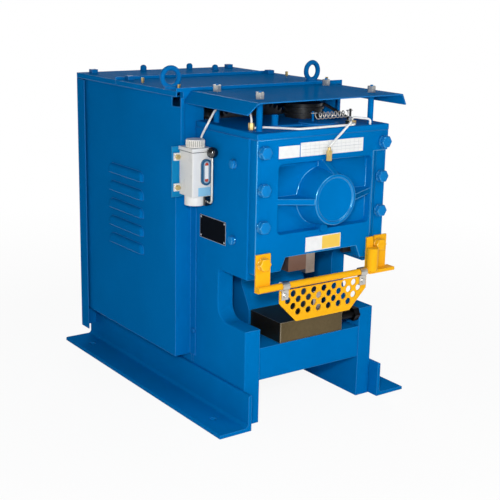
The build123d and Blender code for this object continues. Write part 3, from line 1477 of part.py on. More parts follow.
fitting_top = head_roof + fitting_height
with BuildPart() as oil_hose_pump:
    points = [
        (pump_right - 4, pump_rear - 18, pump_top + pump_lid_thick),
        (pump_right - 2, pump_rear - 30, pump_top + 45),
        (pump_right + 2, pump_rear - 51, head_roof + 7),
        (pump_right + 26, pump_rear - 46, fitting_top + hose_lift - 16),
        (left_fitting[0] - 12, left_fitting[1] + 30, fitting_top + hose_lift),
        (left_fitting[0], left_fitting[1], fitting_top),
    ]
    curved_tube(points, hose_dia)
save(oil_hose_pump, "oil_hose_pump")

with BuildPart() as oil_hoses_head:
    edge = cover_front + hose_dia / 2 + 1
    low = head_roof + hose_dia / 2 + 1
    front_run = [
        (left_fitting[0] + fitting_flats / 2, left_fitting[1], low),
        (left_fitting[0] + 40, left_fitting[1], low),
        (left_fitting[0] + 100, edge, low),
        (junction_x - 5, edge, low),
        (junction_x - 5, junction_face[0], low),
    ]
    tube_along(front_run, 20, hose_dia)
    boss_run = [
        (junction_x - 4, junction_y, junction_top),
        (junction_x - 4, junction_y, junction_top + 11),
        (junction_x - 35, cover_front - 4, junction_top + 2),
        (0, nipple_y, nipple_top + 2.5),
    ]
    tube_along(boss_run, 8, hose_dia)
    right_run = [
        (junction_x + 6, junction_y + 2, junction_top),
        (junction_x + 6, junction_y + 2, junction_top + 8),
        (right_port[0], right_port[1], junction_top + 4),
        right_port,
    ]
    tube_along(right_run, 7, hose_dia)
save(oil_hoses_head, "oil_hoses_head")
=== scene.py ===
# %% [markdown]
# A rebar cutting machine. The CAD model gives every shape its size and place. This lesson gives the
# shapes their paint, metal and plastic, rounds a few edges, puts a copy of the spring in its place, and
# adds light and a camera.

import json
import math

import bmesh
import bpy
from mathutils import Matrix, Vector


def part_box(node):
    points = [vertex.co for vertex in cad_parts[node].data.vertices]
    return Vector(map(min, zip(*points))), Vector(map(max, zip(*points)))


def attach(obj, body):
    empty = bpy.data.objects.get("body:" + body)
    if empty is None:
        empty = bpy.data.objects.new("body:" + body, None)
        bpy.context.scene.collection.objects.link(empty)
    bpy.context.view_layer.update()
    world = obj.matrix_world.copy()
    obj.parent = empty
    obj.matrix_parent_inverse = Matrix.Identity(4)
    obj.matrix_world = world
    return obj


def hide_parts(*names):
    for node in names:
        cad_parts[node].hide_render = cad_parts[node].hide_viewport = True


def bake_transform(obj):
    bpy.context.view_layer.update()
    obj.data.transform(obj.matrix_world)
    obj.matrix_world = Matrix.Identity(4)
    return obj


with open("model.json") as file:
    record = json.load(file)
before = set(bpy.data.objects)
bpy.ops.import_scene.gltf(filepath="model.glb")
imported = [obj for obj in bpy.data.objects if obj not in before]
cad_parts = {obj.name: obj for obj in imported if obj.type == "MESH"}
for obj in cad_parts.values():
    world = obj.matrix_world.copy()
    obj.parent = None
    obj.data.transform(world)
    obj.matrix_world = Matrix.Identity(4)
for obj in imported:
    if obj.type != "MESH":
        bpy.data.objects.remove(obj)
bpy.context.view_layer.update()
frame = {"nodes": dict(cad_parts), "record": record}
scene = bpy.context.scene
nodes_by_name = frame["nodes"]
mm_per_m = 1000.0
print("loaded", len(nodes_by_name), "nodes")

# %% [markdown]
# No surface of a used machine has one flat colour. An image texture would need unwrapping for sixty
# pieces, so every material here is a graph of nodes that reads noise in object space. A few helpers keep
# those graphs short: they add a node, set its values and hand back the socket to go on from.

# %% Graph helpers


def new_graph(name):
    """A fresh material with its graph and its shader."""
    material = bpy.data.materials.new(name)
    material.use_nodes = True
    graph = material.node_tree
    return material, graph, graph.nodes["Principled BSDF"]


def object_coordinates(graph, stretch=(1, 1, 1)):
    """Object space, stretched along its axes."""
    source = graph.nodes.new("ShaderNodeTexCoord")
    mapping = graph.nodes.new("ShaderNodeMapping")
    mapping.inputs["Scale"].default_value = stretch
    graph.links.new(source.outputs["Object"], mapping.inputs["Vector"])
    return mapping.outputs["Vector"]


def noise(graph, vector, scale, detail=4.0):
    """A noise value over a vector."""
    node = graph.nodes.new("ShaderNodeTexNoise")
    node.inputs["Scale"].default_value = scale
    node.inputs["Detail"].default_value = detail
    node.inputs["Roughness"].default_value = 0.55
    graph.links.new(vector, node.inputs["Vector"])
    return node.outputs["Fac"]


def map_range(graph, value, from_low, from_high, to_low, to_high):
    """A value carried from one range to another, and held at its ends."""
    node = graph.nodes.new("ShaderNodeMapRange")
    node.inputs["From Min"].default_value = from_low
    node.inputs["From Max"].default_value = from_high
    node.inputs["To Min"].default_value = to_low
    node.inputs["To Max"].default_value = to_high
    graph.links.new(value, node.inputs["Value"])
    return node.outputs["Result"]


def spread(graph, value, low, high):
    """Noise, which stays near its middle, spread between two limits."""
    noise_low, noise_high = 0.3, 0.7
    return map_range(graph, value, noise_low, noise_high, low, high)


print("graph helpers ready in Blender", bpy.app.version_string)

# %% [markdown]
# Colours are written as a painter would mix them on a screen, in hex. Blender counts light, so each is
# turned into linear values first. A ramp spreads a few tones over a noise, and a mix carries one colour
# into another.

# %% Colour helpers


def linear(hex_colour):
    """An sRGB hex colour as linear red, green and blue."""
    channels = [int(hex_colour[start:start + 2], 16) / 255 for start in (1, 3, 5)]
    return tuple(c / 12.92 if c <= 0.04045 else ((c + 0.055) / 1.055) ** 2.4 for c in channels)


def scaled(colour, factor):
    """A colour made lighter or darker."""
    return tuple(min(1.0, channel * factor) for channel in colour)


def ramp(graph, value, stops):
    """A colour ramp over a value; stops are (position, colour) pairs."""
    node = graph.nodes.new("ShaderNodeValToRGB")
    elements = node.color_ramp.elements
    while len(elements) < len(stops):
        elements.new(0.5)
    for element, (position, colour) in zip(elements, stops):
        element.position = position
        element.color = (*colour, 1)
    graph.links.new(value, node.inputs["Fac"])
    return node.outputs["Color"]


def mixed(graph, factor, first, second):
    """A colour that runs from one colour or socket to another with a factor."""
    node = graph.nodes.new("ShaderNodeMix")
    node.data_type = "RGBA"
    graph.links.new(factor, node.inputs["Factor"])
    for place, colour in (("A", first), ("B", second)):
        if isinstance(colour, tuple):
            node.inputs[place].default_value = (*colour, 1)
        else:
            graph.links.new(colour, node.inputs[place])
    return node.outputs["Result"]


machine_blue, guard_yellow = "#006DB3", "#F2B01A"
print("machine blue in linear light", [round(channel, 3) for channel in linear(machine_blue)])

# %% [markdown]
# Paint has an orange-peel skin and metal a fine grain. Both are far too small to model, so they go into
# the normal as bump. Corners are never quite sharp either: a bevel node rounds the normal there, and the
# angle between that normal and the plain one tells where an edge is.

# %% Relief and edges
flat_cosine, edge_cosine = 0.995, 0.85


def rounded_normal(graph, radius, samples):
    """The normal with its edges rounded to a radius."""
    bevel = graph.nodes.new("ShaderNodeBevel")
    bevel.samples = samples
    bevel.inputs["Radius"].default_value = radius
    return bevel.outputs["Normal"]


def relief(graph, shader, height, depth, edge=0.0):
    """Fine relief on the shader's normal, over edges rounded to a radius."""
    bump = graph.nodes.new("ShaderNodeBump")
    bump.inputs["Strength"].default_value = 0.35
    bump.inputs["Distance"].default_value = depth
    graph.links.new(height, bump.inputs["Height"])
    if edge > 0:
        graph.links.new(rounded_normal(graph, edge, samples=4), bump.inputs["Normal"])
    graph.links.new(bump.outputs["Normal"], shader.inputs["Normal"])


def edge_mask(graph, radius):
    """One along the edges, where the rounded normal leaves the plain one, and zero on the flats."""
    plain = graph.nodes.new("ShaderNodeNewGeometry")
    dot = graph.nodes.new("ShaderNodeVectorMath")
    dot.operation = "DOT_PRODUCT"
    graph.links.new(rounded_normal(graph, radius, samples=6), dot.inputs[0])
    graph.links.new(plain.outputs["Normal"], dot.inputs[1])
    return map_range(graph, dot.outputs["Value"], flat_cosine, edge_cosine, 0.0, 1.0)


print("an edge shows from", round(math.degrees(math.acos(flat_cosine)), 1), "degrees of turn")

# %% [markdown]
# The frame, covers and guard are sprayed with thick machine enamel. A plain glossy blue would mirror the
# white room and turn lilac, so the flats get almost no mirror of their own, tinted in the paint's colour.
# The edges are a little glossier, and a paler tone along them is a painted highlight.

# %% Enamel


def enamel(name, hex_colour, shine=0.22, edge=0.004, vary=0.06, specular=0.0003, lit=0.55, gleam=0.2):
    """Machine enamel: slow drifts of tone, a tinted sheen on the flats, glossier edges and a painted
    highlight along them.
    """
    drift_scale, gloss_scale, skin_scale, skin_depth = 5.0, 18.0, 420.0, 0.0004
    highlight_gain, highlight_lift, sheen_white, glint_white = 1.35, 0.03, 0.1, 0.4
    glossier, duller = 0.06, 0.08
    material, graph, shader = new_graph(name)
    colour = linear(hex_colour)
    vector = object_coordinates(graph)
    stops = [(0.3, scaled(colour, 1 - vary)), (0.55, colour), (0.75, scaled(colour, 1 + vary))]
    tone = ramp(graph, noise(graph, vector, drift_scale, detail=5.0), stops)
    mask = edge_mask(graph, edge)
    # Painted highlight: a paler tone is mixed in along the edges, as much as lit says.
    if lit > 0:
        pale = tuple(highlight_gain * channel + highlight_lift for channel in colour)
        tone = mixed(graph, map_range(graph, mask, 0.0, 1.0, 0.0, lit), tone, pale)
    graph.links.new(tone, shader.inputs["Base Color"])
    gloss = spread(graph, noise(graph, vector, gloss_scale), shine - glossier, shine + duller)
    graph.links.new(gloss, shader.inputs["Roughness"])
    if gleam == specular:
        shader.inputs["Specular IOR Level"].default_value = specular
    else:
        mirror = map_range(graph, mask, 0.0, 1.0, specular, gleam)
        graph.links.new(mirror, shader.inputs["Specular IOR Level"])
    hue = [channel / max(colour) for channel in colour]
    sheen = tuple(sheen_white + (1 - sheen_white) * channel for channel in hue)
    glint = tuple(glint_white + (1 - glint_white) * channel for channel in hue)
    graph.links.new(mixed(graph, mask, sheen, glint), shader.inputs["Specular Tint"])
    relief(graph, shader, noise(graph, vector, skin_scale, detail=2.0), skin_depth, edge)
    return material


looks = {
    "blue_enamel": enamel("blue_enamel", machine_blue, shine=0.18),
    "sky_enamel": enamel("sky_enamel", "#147AAE", shine=0.35),
    "yellow_enamel": enamel("yellow_enamel", guard_yellow, shine=0.3, edge=0.002, specular=0.1),
    "motor_enamel": enamel("motor_enamel", "#6C7A80", shine=0.4),
}
cast_enamel = enamel("cast_enamel", machine_blue, edge=0.002, lit=0.0, gleam=0.001)
# Painted highlight: the bolt heads are a lighter blue than the frame, and the other bolts, screws and
# studs get a pale edge tone.
head_edge = {"edge": 0.002, "specular": 0.02, "lit": 0.0, "gleam": 0.02}
highlit_head_enamel = enamel("bolt_head_enamel", "#1078BE", shine=0.2, **head_edge)
bolt_enamel = enamel("bolt_enamel", "#0668AC", shine=0.2, specular=0.05, lit=0.4, gleam=1.0)
print("enamels:", ", ".join(looks), "and three for castings and bolts")

# %% [markdown]
# On the cast cover and the bolt heads the paint gathers into smooth, wet-looking rims. Those edges are
# rounded as real geometry further down, and this glossier paint goes on the rounded faces only. A tint
# near the paint's own hue keeps the highlights from looking lilac on the blue.

# %% Glossy rims


def rim_enamel(name, hex_colour, tint, shine=0.16):
    """Thick glossy enamel as it gathers on a rounded edge; the tint colours its highlight."""
    drift_scale, gloss_scale, skin_scale, skin_depth = 12.0, 40.0, 300.0, 0.0003
    vary, glossier, duller = 0.06, 0.05, 0.1
    material, graph, shader = new_graph(name)
    colour = linear(hex_colour)
    vector = object_coordinates(graph)
    stops = [(0.3, scaled(colour, 1 - vary)), (0.7, scaled(colour, 1 + vary))]
    graph.links.new(ramp(graph, noise(graph, vector, drift_scale), stops), shader.inputs["Base Color"])
    gloss = spread(graph, noise(graph, vector, gloss_scale), shine - glossier, shine + duller)
    graph.links.new(gloss, shader.inputs["Roughness"])
    shader.inputs["IOR"].default_value = 2.2
    shader.inputs["Specular IOR Level"].default_value = 0.8
    shader.inputs["Specular Tint"].default_value = (*tint, 1)
    relief(graph, shader, noise(graph, vector, skin_scale, detail=2.0), skin_depth)
    return material


blue_rim = rim_enamel("blue_rim", machine_blue, (0.3, 0.8, 1.0))
yellow_rim = rim_enamel("yellow_rim", guard_yellow, (1.0, 0.94, 0.75))
print("rims:", blue_rim.name, yellow_rim.name)

# %% [markdown]
# The die, blades and ram are bare steel, the clips and nuts are plated, and the oil fittings are brass.
# All are one graph with another colour: a grain stretched along the direction of machining, mixed with
# slow stains. The die's edges are painted bright, partly as wear from the bars and partly as a painted
# highlight.

# %% Bare metal


def metal(name, hex_colour, shine=0.35, grain=(1, 1, 1), vary=0.15, edge=0.0008, metallic=1.0, wear_and_highlight=None):
    """Bare metal with a stretched grain and slow stains; its edges may be painted another colour, for
    wear and as a painted highlight.
    """
    grain_scale, stain_scale, grain_depth = 90.0, 9.0, 0.0003
    glossier, duller = 0.08, 0.12
    material, graph, shader = new_graph(name)
    colour = linear(hex_colour)
    fine = noise(graph, object_coordinates(graph, grain), grain_scale, detail=6.0)
    stain = noise(graph, object_coordinates(graph), stain_scale, detail=5.0)
    mix = graph.nodes.new("ShaderNodeMix")
    mix.inputs["Factor"].default_value = 0.5
    graph.links.new(fine, mix.inputs["A"])
    graph.links.new(stain, mix.inputs["B"])
    stops = [(0.32, scaled(colour, 1 - vary)), (0.5, colour), (0.68, scaled(colour, 1 + vary))]
    tone = ramp(graph, mix.outputs["Result"], stops)
    # Bright edges: wear, and a painted highlight.
    if wear_and_highlight:
        tone = mixed(graph, edge_mask(graph, edge), tone, linear(wear_and_highlight))
    graph.links.new(tone, shader.inputs["Base Color"])
    graph.links.new(spread(graph, fine, shine - glossier, shine + duller), shader.inputs["Roughness"])
    shader.inputs["Metallic"].default_value = metallic
    relief(graph, shader, fine, grain_depth, edge)
    return material


die_wear_and_highlight = {"grain": (1, 6, 1), "vary": 0.22, "edge": 0.0025, "wear_and_highlight": "#D8CDB8"}
metals = {
    "zinc": metal("zinc", "#C9C7C2", shine=0.33, vary=0.12),
    "gold_zinc": metal("gold_zinc", "#D8C48E", shine=0.33, vary=0.12),
    "die_steel": metal("die_steel", "#6A5C42", shine=0.42, **die_wear_and_highlight),
    "tool_steel": metal("tool_steel", "#C2B6AE", shine=0.38, grain=(1, 1, 5)),
    "ram_steel": metal("ram_steel", "#9C7C6E", shine=0.45, grain=(5, 1, 1)),
    "black_steel": metal("black_steel", "#1D1D1F", shine=0.4, vary=0.2),
    "machined_steel": metal("machined_steel", "#9A9A9C"),
    "bronze": metal("bronze", "#B08A4A"),
    "iron": metal("iron", "#55565A", shine=0.5),
    "dark_iron": metal("dark_iron", "#1E2022", shine=0.45, metallic=0.4),
    "brass": metal("brass", "#D2B87C", shine=0.3),
    "spring_steel": metal("spring_steel", "#DAD6CC", shine=0.3, metallic=0.35),
}
looks.update(metals)
print("metals:", ", ".join(metals))

# %% [markdown]
# The oil tubes, the knob and the cap are moulded plastic and the belts are rubber. Moulded parts are
# even, so a faint mottle and a slight change of gloss are enough; more would look dirty.

# %% Plastic and rubber


def plastic(name, hex_colour, shine=0.35, specular=0.5, vary=0.04):
    """Moulded plastic or rubber with a faint mottle."""
    mottle_scale, gloss_scale, skin_scale = 60.0, 25.0, 500.0
    skin_depth, edge, glossier, duller = 0.0002, 0.0006, 0.04, 0.06
    material, graph, shader = new_graph(name)
    colour = linear(hex_colour)
    vector = object_coordinates(graph)
    stops = [(0.3, scaled(colour, 1 - vary)), (0.7, scaled(colour, 1 + vary))]
    graph.links.new(ramp(graph, noise(graph, vector, mottle_scale), stops), shader.inputs["Base Color"])
    gloss = spread(graph, noise(graph, vector, gloss_scale), shine - glossier, shine + duller)
    graph.links.new(gloss, shader.inputs["Roughness"])
    shader.inputs["Specular IOR Level"].default_value = specular
    relief(graph, shader, noise(graph, vector, skin_scale, detail=2.0), skin_depth, edge)
    return material


plastics = {
    "belt_rubber": plastic("belt_rubber", "#171717", shine=0.7, specular=0.2),
    "black_plastic": plastic("black_plastic", "#0B0B0D", shine=0.12, specular=1.0),
    "white_plastic": plastic("white_plastic", "#E4E1DA"),
    "tube_plastic": plastic("tube_plastic", "#ECECE8", shine=0.3),
}
looks.update(plastics)
print("plastics:", ", ".join(plastics))

# %% [markdown]
# Some pieces carry plain marks: a rim line, ruled lines, a coloured patch, a gasket. Separate thin meshes
# would flicker against the surface below, so each mark is a mask in object space, placed from the piece's
# own box in the frame, and a second colour is painted over where the mask is one.

# %% Mask helpers


def math_node(graph, operation, first, second=None):
    """A math node over numbers or sockets."""
    node = graph.nodes.new("ShaderNodeMath")
    node.operation = operation
    for place, value in zip(node.inputs, (first, second)):
        if value is None:
            continue
        if isinstance(value, (int, float)):
            place.default_value = value
        else:
            graph.links.new(value, place)
    return node.outputs[0]


def box_of(low, high):
    """Centre and half sizes between two corners."""
    centre = [(a + b) / 2 for a, b in zip(low, high)]
    return centre, [(b - a) / 2 for a, b in zip(low, high)]


def shader_of(material):
    """The graph and shader of a finished material."""
    return material.node_tree, material.node_tree.nodes["Principled BSDF"]


def offsets(graph, centre):
    """The distances from a centre along X, Y and Z, without their signs."""
    source = graph.nodes.new("ShaderNodeTexCoord")
    split = graph.nodes.new("ShaderNodeSeparateXYZ")
    graph.links.new(source.outputs["Object"], split.inputs["Vector"])
    along = [math_node(graph, "SUBTRACT", split.outputs[axis], centre[axis]) for axis in range(3)]
    return [math_node(graph, "ABSOLUTE", value) for value in along]


def inside(graph, distances, halves):
    """One inside a box of half sizes, zero outside; None leaves an axis free."""
    mask = None
    for distance, half in zip(distances, halves):
        if half is None:
            continue
        test = math_node(graph, "LESS_THAN", distance, half)
        mask = test if mask is None else math_node(graph, "MULTIPLY", mask, test)
    return mask


def within(graph, first, second, radius):
    """One where two distances lie within a circle, zero outside."""
    squares = [math_node(graph, "MULTIPLY", value, value) for value in (first, second)]
    return math_node(graph, "LESS_THAN", math_node(graph, "ADD", *squares), radius * radius)


def paint_over(graph, shader, mask, hex_colour):
    """Another colour over the shader's own where a mask is one."""
    socket = shader.inputs["Base Color"]
    under = socket.links[0].from_socket
    graph.links.new(mixed(graph, mask, under, linear(hex_colour)), socket)


plate_half = box_of(*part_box("name_plate"))[1]
print("name plate measures", [round(2 * mm_per_m * half) for half in plate_half], "mm")

# %% [markdown]
# The plate on the side wall is black enamel with a bright rim and four pins. The rim is what is left
# outside a slightly smaller box, and the pins are circles set in from the corners.

# %% Name plate


def name_plate_look():
    """Black enamel plate with a bright rim line and four pins."""
    rim, pin_inset, pin_radius = 0.0012, 0.006, 0.0028
    material = enamel("black_plate", "#10141A", shine=0.35, edge=0.0006, vary=0.15)
    graph, shader = shader_of(material)
    centre, half = box_of(*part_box("name_plate"))
    distances = offsets(graph, centre)
    field = inside(graph, distances, (None, half[1] - rim, half[2] - rim))
    paint_over(graph, shader, math_node(graph, "SUBTRACT", 1.0, field), "#9AA0A4")
    corner = [math_node(graph, "SUBTRACT", distances[axis], half[axis] - pin_inset) for axis in (1, 2)]
    paint_over(graph, shader, within(graph, *corner, pin_radius), "#C4C8CA")
    return material


looks["black_plate"] = name_plate_look()
print("name plate painted with a rim and four pins")

# %% [markdown]
# Three white labels sit on the front cover as one node. The wide one has plain ruled lines and the low
# one a yellow part. The labels' own corners tell them apart: the low one lies well under the others, and
# of the upper ones' sides the two furthest to the right belong to the wide label.

# %% Labels


def label_corners():
    """The corners of the low label and those of the upper ones."""
    tallest_label = 0.1
    corners = [vertex.co for vertex in nodes_by_name["label_plates"].data.vertices]
    foot = min(point.z for point in corners)
    low = [point for point in corners if point.z < foot + tallest_label]
    return low, [point for point in corners if point.z >= foot + tallest_label]


def paint_yellow_part(graph, shader, corners, margin):
    """Yellow on the right-hand part of the low label."""
    white_share = 0.45
    low = [min(point[axis] for point in corners) for axis in range(3)]
    high = [max(point[axis] for point in corners) for axis in range(3)]
    low[0] += white_share * (high[0] - low[0])
    centre, half = box_of(low, high)
    field = inside(graph, offsets(graph, centre), (half[0] - margin, None, half[2] - margin))
    paint_over(graph, shader, field, "#E8C04A")


def paint_ruled_lines(graph, shader, corners, margin):
    """Thin grey rows and columns on the wide label."""
    row_count, column_count, line = 4, 14, 0.0004
    sides = sorted({round(point.x, 4) for point in corners})
    levels = [point.z for point in corners]
    centre, half = box_of((sides[-2], 0, min(levels)), (sides[-1], 0, max(levels)))
    distances = offsets(graph, centre)
    field = inside(graph, distances, (half[0] - 2 * margin, None, half[2] - margin))
    for axis, count in ((0, column_count), (2, row_count)):
        pitch = 2 * (half[axis] - margin) / count
        near = math_node(graph, "LESS_THAN", math_node(graph, "MODULO", distances[axis], pitch), line)
        paint_over(graph, shader, math_node(graph, "MULTIPLY", near, field), "#A4ABB2")


def label_look():
    """White labels: the low one with a yellow part, the wide one with ruled lines."""
    margin = 0.002
    material = plastic("white_plate", "#E2E3E2", shine=0.4)
    graph, shader = shader_of(material)
    low_label, upper_labels = label_corners()
    paint_yellow_part(graph, shader, low_label, margin)
    paint_ruled_lines(graph, shader, upper_labels, margin)
    return material


looks["white_plate"] = label_look()
print("labels told apart by", [len(corners) for corners in label_corners()], "corners")

# %% [markdown]
# The hand pump is an off-white box with a lid. Its paint has a slight gloss of its own. The gasket under
# the lid shows as a dark line, and a plain blue patch sits under the gauge. Both are too thin to model.

# %% Oil pump


def lid_underside():
    """Height of the pump lid's underside, the third level of the body's corners from the top."""
    levels = sorted({round(vertex.co.z, 4) for vertex in nodes_by_name["pump_body"].data.vertices})
    return levels[-3]


def pump_look():
    """Pale pump enamel with a dark gasket line and a plain blue patch under the gauge."""
    patch_width, patch_height, patch_depth = 0.038, 0.023, 0.008
    patch_shift, patch_gap, gasket_thick = 0.003, 0.006, 0.0022
    material = enamel("pump_enamel", "#DCDCDA", shine=0.3, edge=0.0015, vary=0.03, specular=0.2)
    graph, shader = shader_of(material)
    low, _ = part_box("pump_body")
    gauge_low, gauge_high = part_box("sight_gauge")
    patch_x = (gauge_low[0] + gauge_high[0]) / 2 - patch_shift
    patch_centre = (patch_x, low[1], gauge_low[2] - patch_gap - patch_height / 2)
    patch_half = (patch_width / 2, patch_depth / 2, patch_height / 2)
    paint_over(graph, shader, inside(graph, offsets(graph, patch_centre), patch_half), "#86BEDC")
    gasket = offsets(graph, (low[0], low[1], lid_underside()))
    paint_over(graph, shader, inside(graph, gasket, (None, None, gasket_thick / 2)), "#3A3D40")
    return material


looks["pump_enamel"] = pump_look()
print("pump lid starts at", round(mm_per_m * lid_underside(), 1), "mm")

# %% [markdown]
# The filler cap has upright ribs for the fingers, and they are real shape in the CAD model. Whatever lies
# nearer to the cap's axis than the ribs' crests is painted a little darker, as painted shade in the
# grooves.

# %% Filler cap


def cap_groove_shade_look():
    """White cap with painted shade in the grooves between its ribs."""
    crown, groove_depth = 0.0025, 0.0008
    material = plastic("cap_groove_shade_plastic", "#E4E1DA")
    graph, shader = shader_of(material)
    centre, half = box_of(*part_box("pump_cap"))
    distances = offsets(graph, centre)
    near = within(graph, distances[0], distances[1], half[0] - groove_depth)
    side = inside(graph, distances, (None, None, half[2] - crown))
    # Painted shade in the grooves between the ribs.
    paint_over(graph, shader, math_node(graph, "MULTIPLY", near, side), "#A9A7A1")
    return material


cap_groove_shade_plastic = cap_groove_shade_look()
cap_half = box_of(*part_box("pump_cap"))[1]
print("cap measures", round(2 * mm_per_m * cap_half[0], 1), "mm across its ribs")

# %% [markdown]
# The sight gauge is a blue frame with round ends, and a pale tube with red ends in it. Distance from the
# gauge's middle line gives all of these at once: it is measured across the line, and round its ends past
# them.

# %% Sight gauge


def gauge_look():
    """Blue gauge frame with a pale tube and red marks at its ends."""
    window_share, tube_share, mark_share = 0.62, 0.36, 1.15
    material = plastic("gauge_plastic", "#24587C", shine=0.22)
    graph, shader = shader_of(material)
    centre, half = box_of(*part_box("sight_gauge"))
    distances = offsets(graph, centre)
    past_end = math_node(graph, "SUBTRACT", distances[2], half[2] - half[0])
    past_end = math_node(graph, "MAXIMUM", past_end, 0.0)
    window = within(graph, distances[0], past_end, window_share * half[0])
    tube = within(graph, distances[0], past_end, tube_share * half[0])
    ends = math_node(graph, "GREATER_THAN", distances[2], half[2] - mark_share * half[0])
    paint_over(graph, shader, window, "#8FA6B6")
    paint_over(graph, shader, tube, "#E6E8E8")
    paint_over(graph, shader, math_node(graph, "MULTIPLY", tube, ends), "#B8402E")
    return material


looks["gauge_plastic"] = gauge_look()
gauge_half = box_of(*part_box("sight_gauge"))[1]
print("gauge is", round(2 * mm_per_m * gauge_half[2]), "mm tall")

# %% [markdown]
# Each node of the record names a material slot, and each slot has its look. A few pieces of the same slot
# have looks of their own: the cast cover rounds its edges further down, the small bolts carry a lighter
# blue and pale edges as painted highlight, and the cap has painted shade in its grooves.

# %% Paint every piece
own_looks = {
    "front_cover": cast_enamel,
    "frame_bolts": highlit_head_enamel,
    "cover_screws": bolt_enamel,
    "eye_bolts": bolt_enamel,
    "lid_studs": bolt_enamel,
    "pump_cap": cap_groove_shade_plastic,
}
for entry in frame["record"]["subparts"]:
    part = nodes_by_name[entry["node"]]
    look = own_looks.get(entry["node"], looks[entry["material_slot"]])
    if part.material_slots:
        for place in part.material_slots:
            place.material = look
    else:
        part.data.materials.append(look)

# %% [markdown]
# The cast cover and the bolt heads have edges rounded by casting, forging and paint, and they catch the
# light as bright lines. A bevel in the material alone would leave the outline sharp. So a copy of each
# mesh is welded, its flat triangles are joined, and its sharp edges get a real rounding in the glossy rim
# paint. On the cover the short edges round holes and fillets stay as they are, because a rounding wider
# than its faces would fold over itself.

# %% Rounded castings and bolts


def rounded_copy(node, name, radius, rim_look, shortest=0.0):
    """A copy of a frame node's mesh with its sharp edges rounded and glossy, in place of the node."""
    weld, largest_smooth = 1e-6, 0.0005
    flat_angle, sharp_angle, crease_angle = (math.radians(angle) for angle in (0.5, 40, 32))
    mesh = nodes_by_name[node].data.copy()
    mesh.materials.append(rim_look)
    rim = len(mesh.materials) - 1
    shape = bmesh.new()
    shape.from_mesh(mesh)
    bmesh.ops.remove_doubles(shape, verts=shape.verts, dist=weld)
    bmesh.ops.dissolve_limit(shape, angle_limit=flat_angle, verts=shape.verts, edges=shape.edges)
    long_edges = [edge for edge in shape.edges if edge.is_manifold and edge.calc_length() > shortest]
    sharp = [edge for edge in long_edges if edge.calc_face_angle() > sharp_angle]
    bmesh.ops.bevel(
        shape, geom=sharp, offset=radius, segments=3, profile=0.5, affect="EDGES",
        clamp_overlap=False, material=rim,
    )
    shape.to_mesh(mesh)
    shape.free()
    for face in mesh.polygons:
        face.use_smooth = face.area < largest_smooth
    mesh.set_sharp_from_angle(angle=crease_angle)
    piece = bpy.data.objects.new(name, mesh)
    scene.collection.objects.link(piece)
    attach(piece, "frame")
    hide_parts(node)
    rim_area = sum(face.area for face in mesh.polygons if face.material_index == rim)
    print(name, len(sharp), "edges rounded, rim area", round(rim_area * mm_per_m ** 2), "mm2")


rounded_copy("front_cover", "rounded_cover", radius=0.0018, rim_look=blue_rim, shortest=0.004)
rounded_copy("frame_bolts", "rounded_bolts", radius=0.0015, rim_look=blue_rim)
rounded_copy("guard_bolts", "rounded_guard_bolts", radius=0.001, rim_look=yellow_rim)

# %% [markdown]
# The coil spring hooks on the trip lever's pin at one end and on a fixed post at the other. A copy of its
# mesh stands in for it, with its place baked into its points, and the spring node is hidden.

# %% Coil spring
spring = bpy.data.objects.new("coil_spring", nodes_by_name["trip_spring"].data.copy())
scene.collection.objects.link(spring)
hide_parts("trip_spring")
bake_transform(spring)
print("coil spring", len(spring.data.vertices), "points")

# %% [markdown]
# The machine stands on a white floor that runs into a white room. A big white room full of lamps would
# bleach the paint, so the white is for the eye only: camera, mirror and glass rays see a white glow, and
# the rays that carry soft light see a plain floor. Near the machine the glow leaves a little of its
# shadow, and further out it fades to pure white, so no horizon shows.

# %% Floor


def seen_directly(graph):
    """One for camera, mirror and glass rays, zero for the rays that carry soft light."""
    path = graph.nodes.new("ShaderNodeLightPath")
    seen = math_node(graph, "MAXIMUM", path.outputs["Is Camera Ray"], path.outputs["Is Glossy Ray"])
    return math_node(graph, "MAXIMUM", seen, path.outputs["Is Transmission Ray"])


def floor_look(near_glow, shadow_reach, white_reach):
    """White that keeps a shadow near the middle and glows evenly further out."""
    material, graph, shader = new_graph("floor_white")
    cloud_scale, darker, lighter = 3.0, 0.92, 0.95
    stops = [(0.3, (darker,) * 3), (0.7, (lighter,) * 3)]
    tone = ramp(graph, noise(graph, object_coordinates(graph), cloud_scale), stops)
    graph.links.new(tone, shader.inputs["Base Color"])
    shader.inputs["Roughness"].default_value = 0.9
    shader.inputs["Specular IOR Level"].default_value = 0.05
    glow = graph.nodes.new("ShaderNodeEmission")
    glow.inputs["Color"].default_value = (1, 1, 1, 1)
    glow.inputs["Strength"].default_value = 1.0
    reach = graph.nodes.new("ShaderNodeVectorMath")
    reach.operation = "LENGTH"
    graph.links.new(object_coordinates(graph), reach.inputs[0])
    fade = map_range(graph, reach.outputs["Value"], shadow_reach, white_reach, near_glow, 1.0)
    mix = graph.nodes.new("ShaderNodeMixShader")
    graph.links.new(math_node(graph, "MULTIPLY", seen_directly(graph), fade), mix.inputs["Fac"])
    graph.links.new(shader.outputs[0], mix.inputs[1])
    graph.links.new(glow.outputs[0], mix.inputs[2])
    graph.links.new(mix.outputs[0], graph.nodes["Material Output"].inputs["Surface"])
    return material


floor_size, floor_drop = 400, 0.0005
bpy.ops.mesh.primitive_plane_add(size=floor_size, location=(0, 0, -floor_drop))
floor = bpy.context.object
floor.name = "floor"
floor.data.materials.append(floor_look(near_glow=0.92, shadow_reach=0.9, white_reach=2.4))
print("floor", floor_size, "m across")

# %% [markdown]
# The world is white to the camera. To mirrors it is white round the horizon and grey overhead, so that
# the roof does not turn milky, and to soft light it is a weak even grey.

# %% World


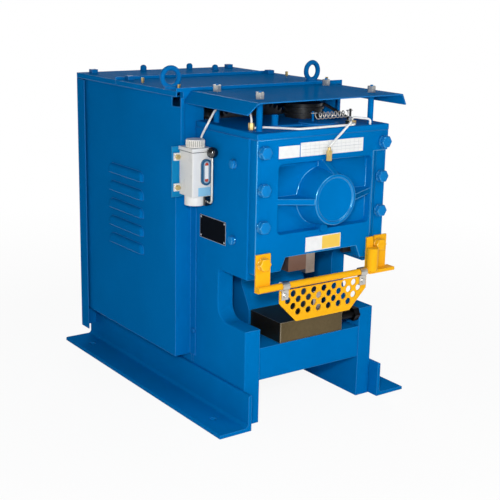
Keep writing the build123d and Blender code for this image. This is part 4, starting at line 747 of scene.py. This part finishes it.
def studio_world(ambient, ceiling, horizon=(0.02, 0.08)):
    """White to the camera, a grey ceiling to mirrors, and a soft grey light to the rest."""
    world = bpy.data.worlds.new("studio")
    world.use_nodes = True
    graph = world.node_tree
    background = graph.nodes["Background"]
    background.inputs["Color"].default_value = (1, 1, 1, 1)
    source = graph.nodes.new("ShaderNodeTexCoord")
    split = graph.nodes.new("ShaderNodeSeparateXYZ")
    graph.links.new(source.outputs["Generated"], split.inputs["Vector"])
    fade = map_range(graph, split.outputs["Z"], *horizon, 1.0, ceiling)
    path = graph.nodes.new("ShaderNodeLightPath")
    backdrop = math_node(graph, "MAXIMUM", fade, path.outputs["Is Camera Ray"])
    level = graph.nodes.new("ShaderNodeMix")
    level.inputs["A"].default_value = ambient
    graph.links.new(seen_directly(graph), level.inputs["Factor"])
    graph.links.new(backdrop, level.inputs["B"])
    graph.links.new(level.outputs["Result"], background.inputs["Strength"])
    return world


scene.world = studio_world(ambient=0.25, ceiling=0.2)
print("world", scene.world.name)

# %% [markdown]
# Soft boxes light the front and the back, as in a product photograph. The one beside the camera is small,
# so its reflection is a bright spot that draws the rims of the castings and bolts; a large one would only
# veil them.

# %% Lamps


def soft_box(name, place, target, size, power):
    """A square soft box that looks at a point."""
    data = bpy.data.lights.new(name, "AREA")
    data.size = size
    data.energy = power
    light = bpy.data.objects.new(name, data)
    light.location = place
    light.rotation_euler = (Vector(target) - Vector(place)).to_track_quat("-Z", "Y").to_euler()
    light.visible_camera = False
    scene.collection.objects.link(light)
    print(name, power, "W")


soft_box("key", (-1.6, -2.1, 0.8), (-0.1, -0.3, 0.4), size=0.9, power=12)
soft_box("spark", (-1.45, -2.05, 1.2), (-0.1, -0.3, 0.5), size=0.16, power=24)
soft_box("rear", (1.2, 2.8, 2.2), (0, 0.2, 0.5), size=1.4, power=26)
soft_box("front", (0.6, -3.2, 2.1), (0, -0.3, 0.45), size=1.4, power=30)

# %% [markdown]
# The camera stands where the photograph was taken from. Its place and its angles were solved from the
# edges of the rails and plates, and the focal length is counted in pixels of a 500-pixel picture.

# %% Camera
focal_px, frame_px, sensor_mm = 1048.69, 500.0, 36.0
azimuth, elevation, roll = (math.radians(value) for value in (-35.579, 14.689, 1.195))
eye = Vector((-1.72406, -2.53088, 1.16714))
back = Vector((
    math.sin(azimuth) * math.cos(elevation),
    -math.cos(azimuth) * math.cos(elevation),
    math.sin(elevation),
))
right = Vector((0, 0, 1)).cross(back).normalized()
up = back.cross(right)
camera_x = math.cos(roll) * right + math.sin(roll) * up
camera_y = -math.sin(roll) * right + math.cos(roll) * up
camera_data = bpy.data.cameras.new("camera")
camera_data.sensor_fit = "HORIZONTAL"
camera_data.sensor_width = sensor_mm
camera_data.lens = focal_px / frame_px * sensor_mm
camera = bpy.data.objects.new("camera", camera_data)
camera.matrix_world = Matrix((
    (camera_x.x, camera_y.x, back.x, eye.x),
    (camera_x.y, camera_y.y, back.y, eye.y),
    (camera_x.z, camera_y.z, back.z, eye.z),
    (0, 0, 0, 1),
))
scene.collection.objects.link(camera)
scene.camera = camera
scene.view_settings.view_transform = "Standard"
print("camera lens", round(camera_data.lens, 2), "mm")
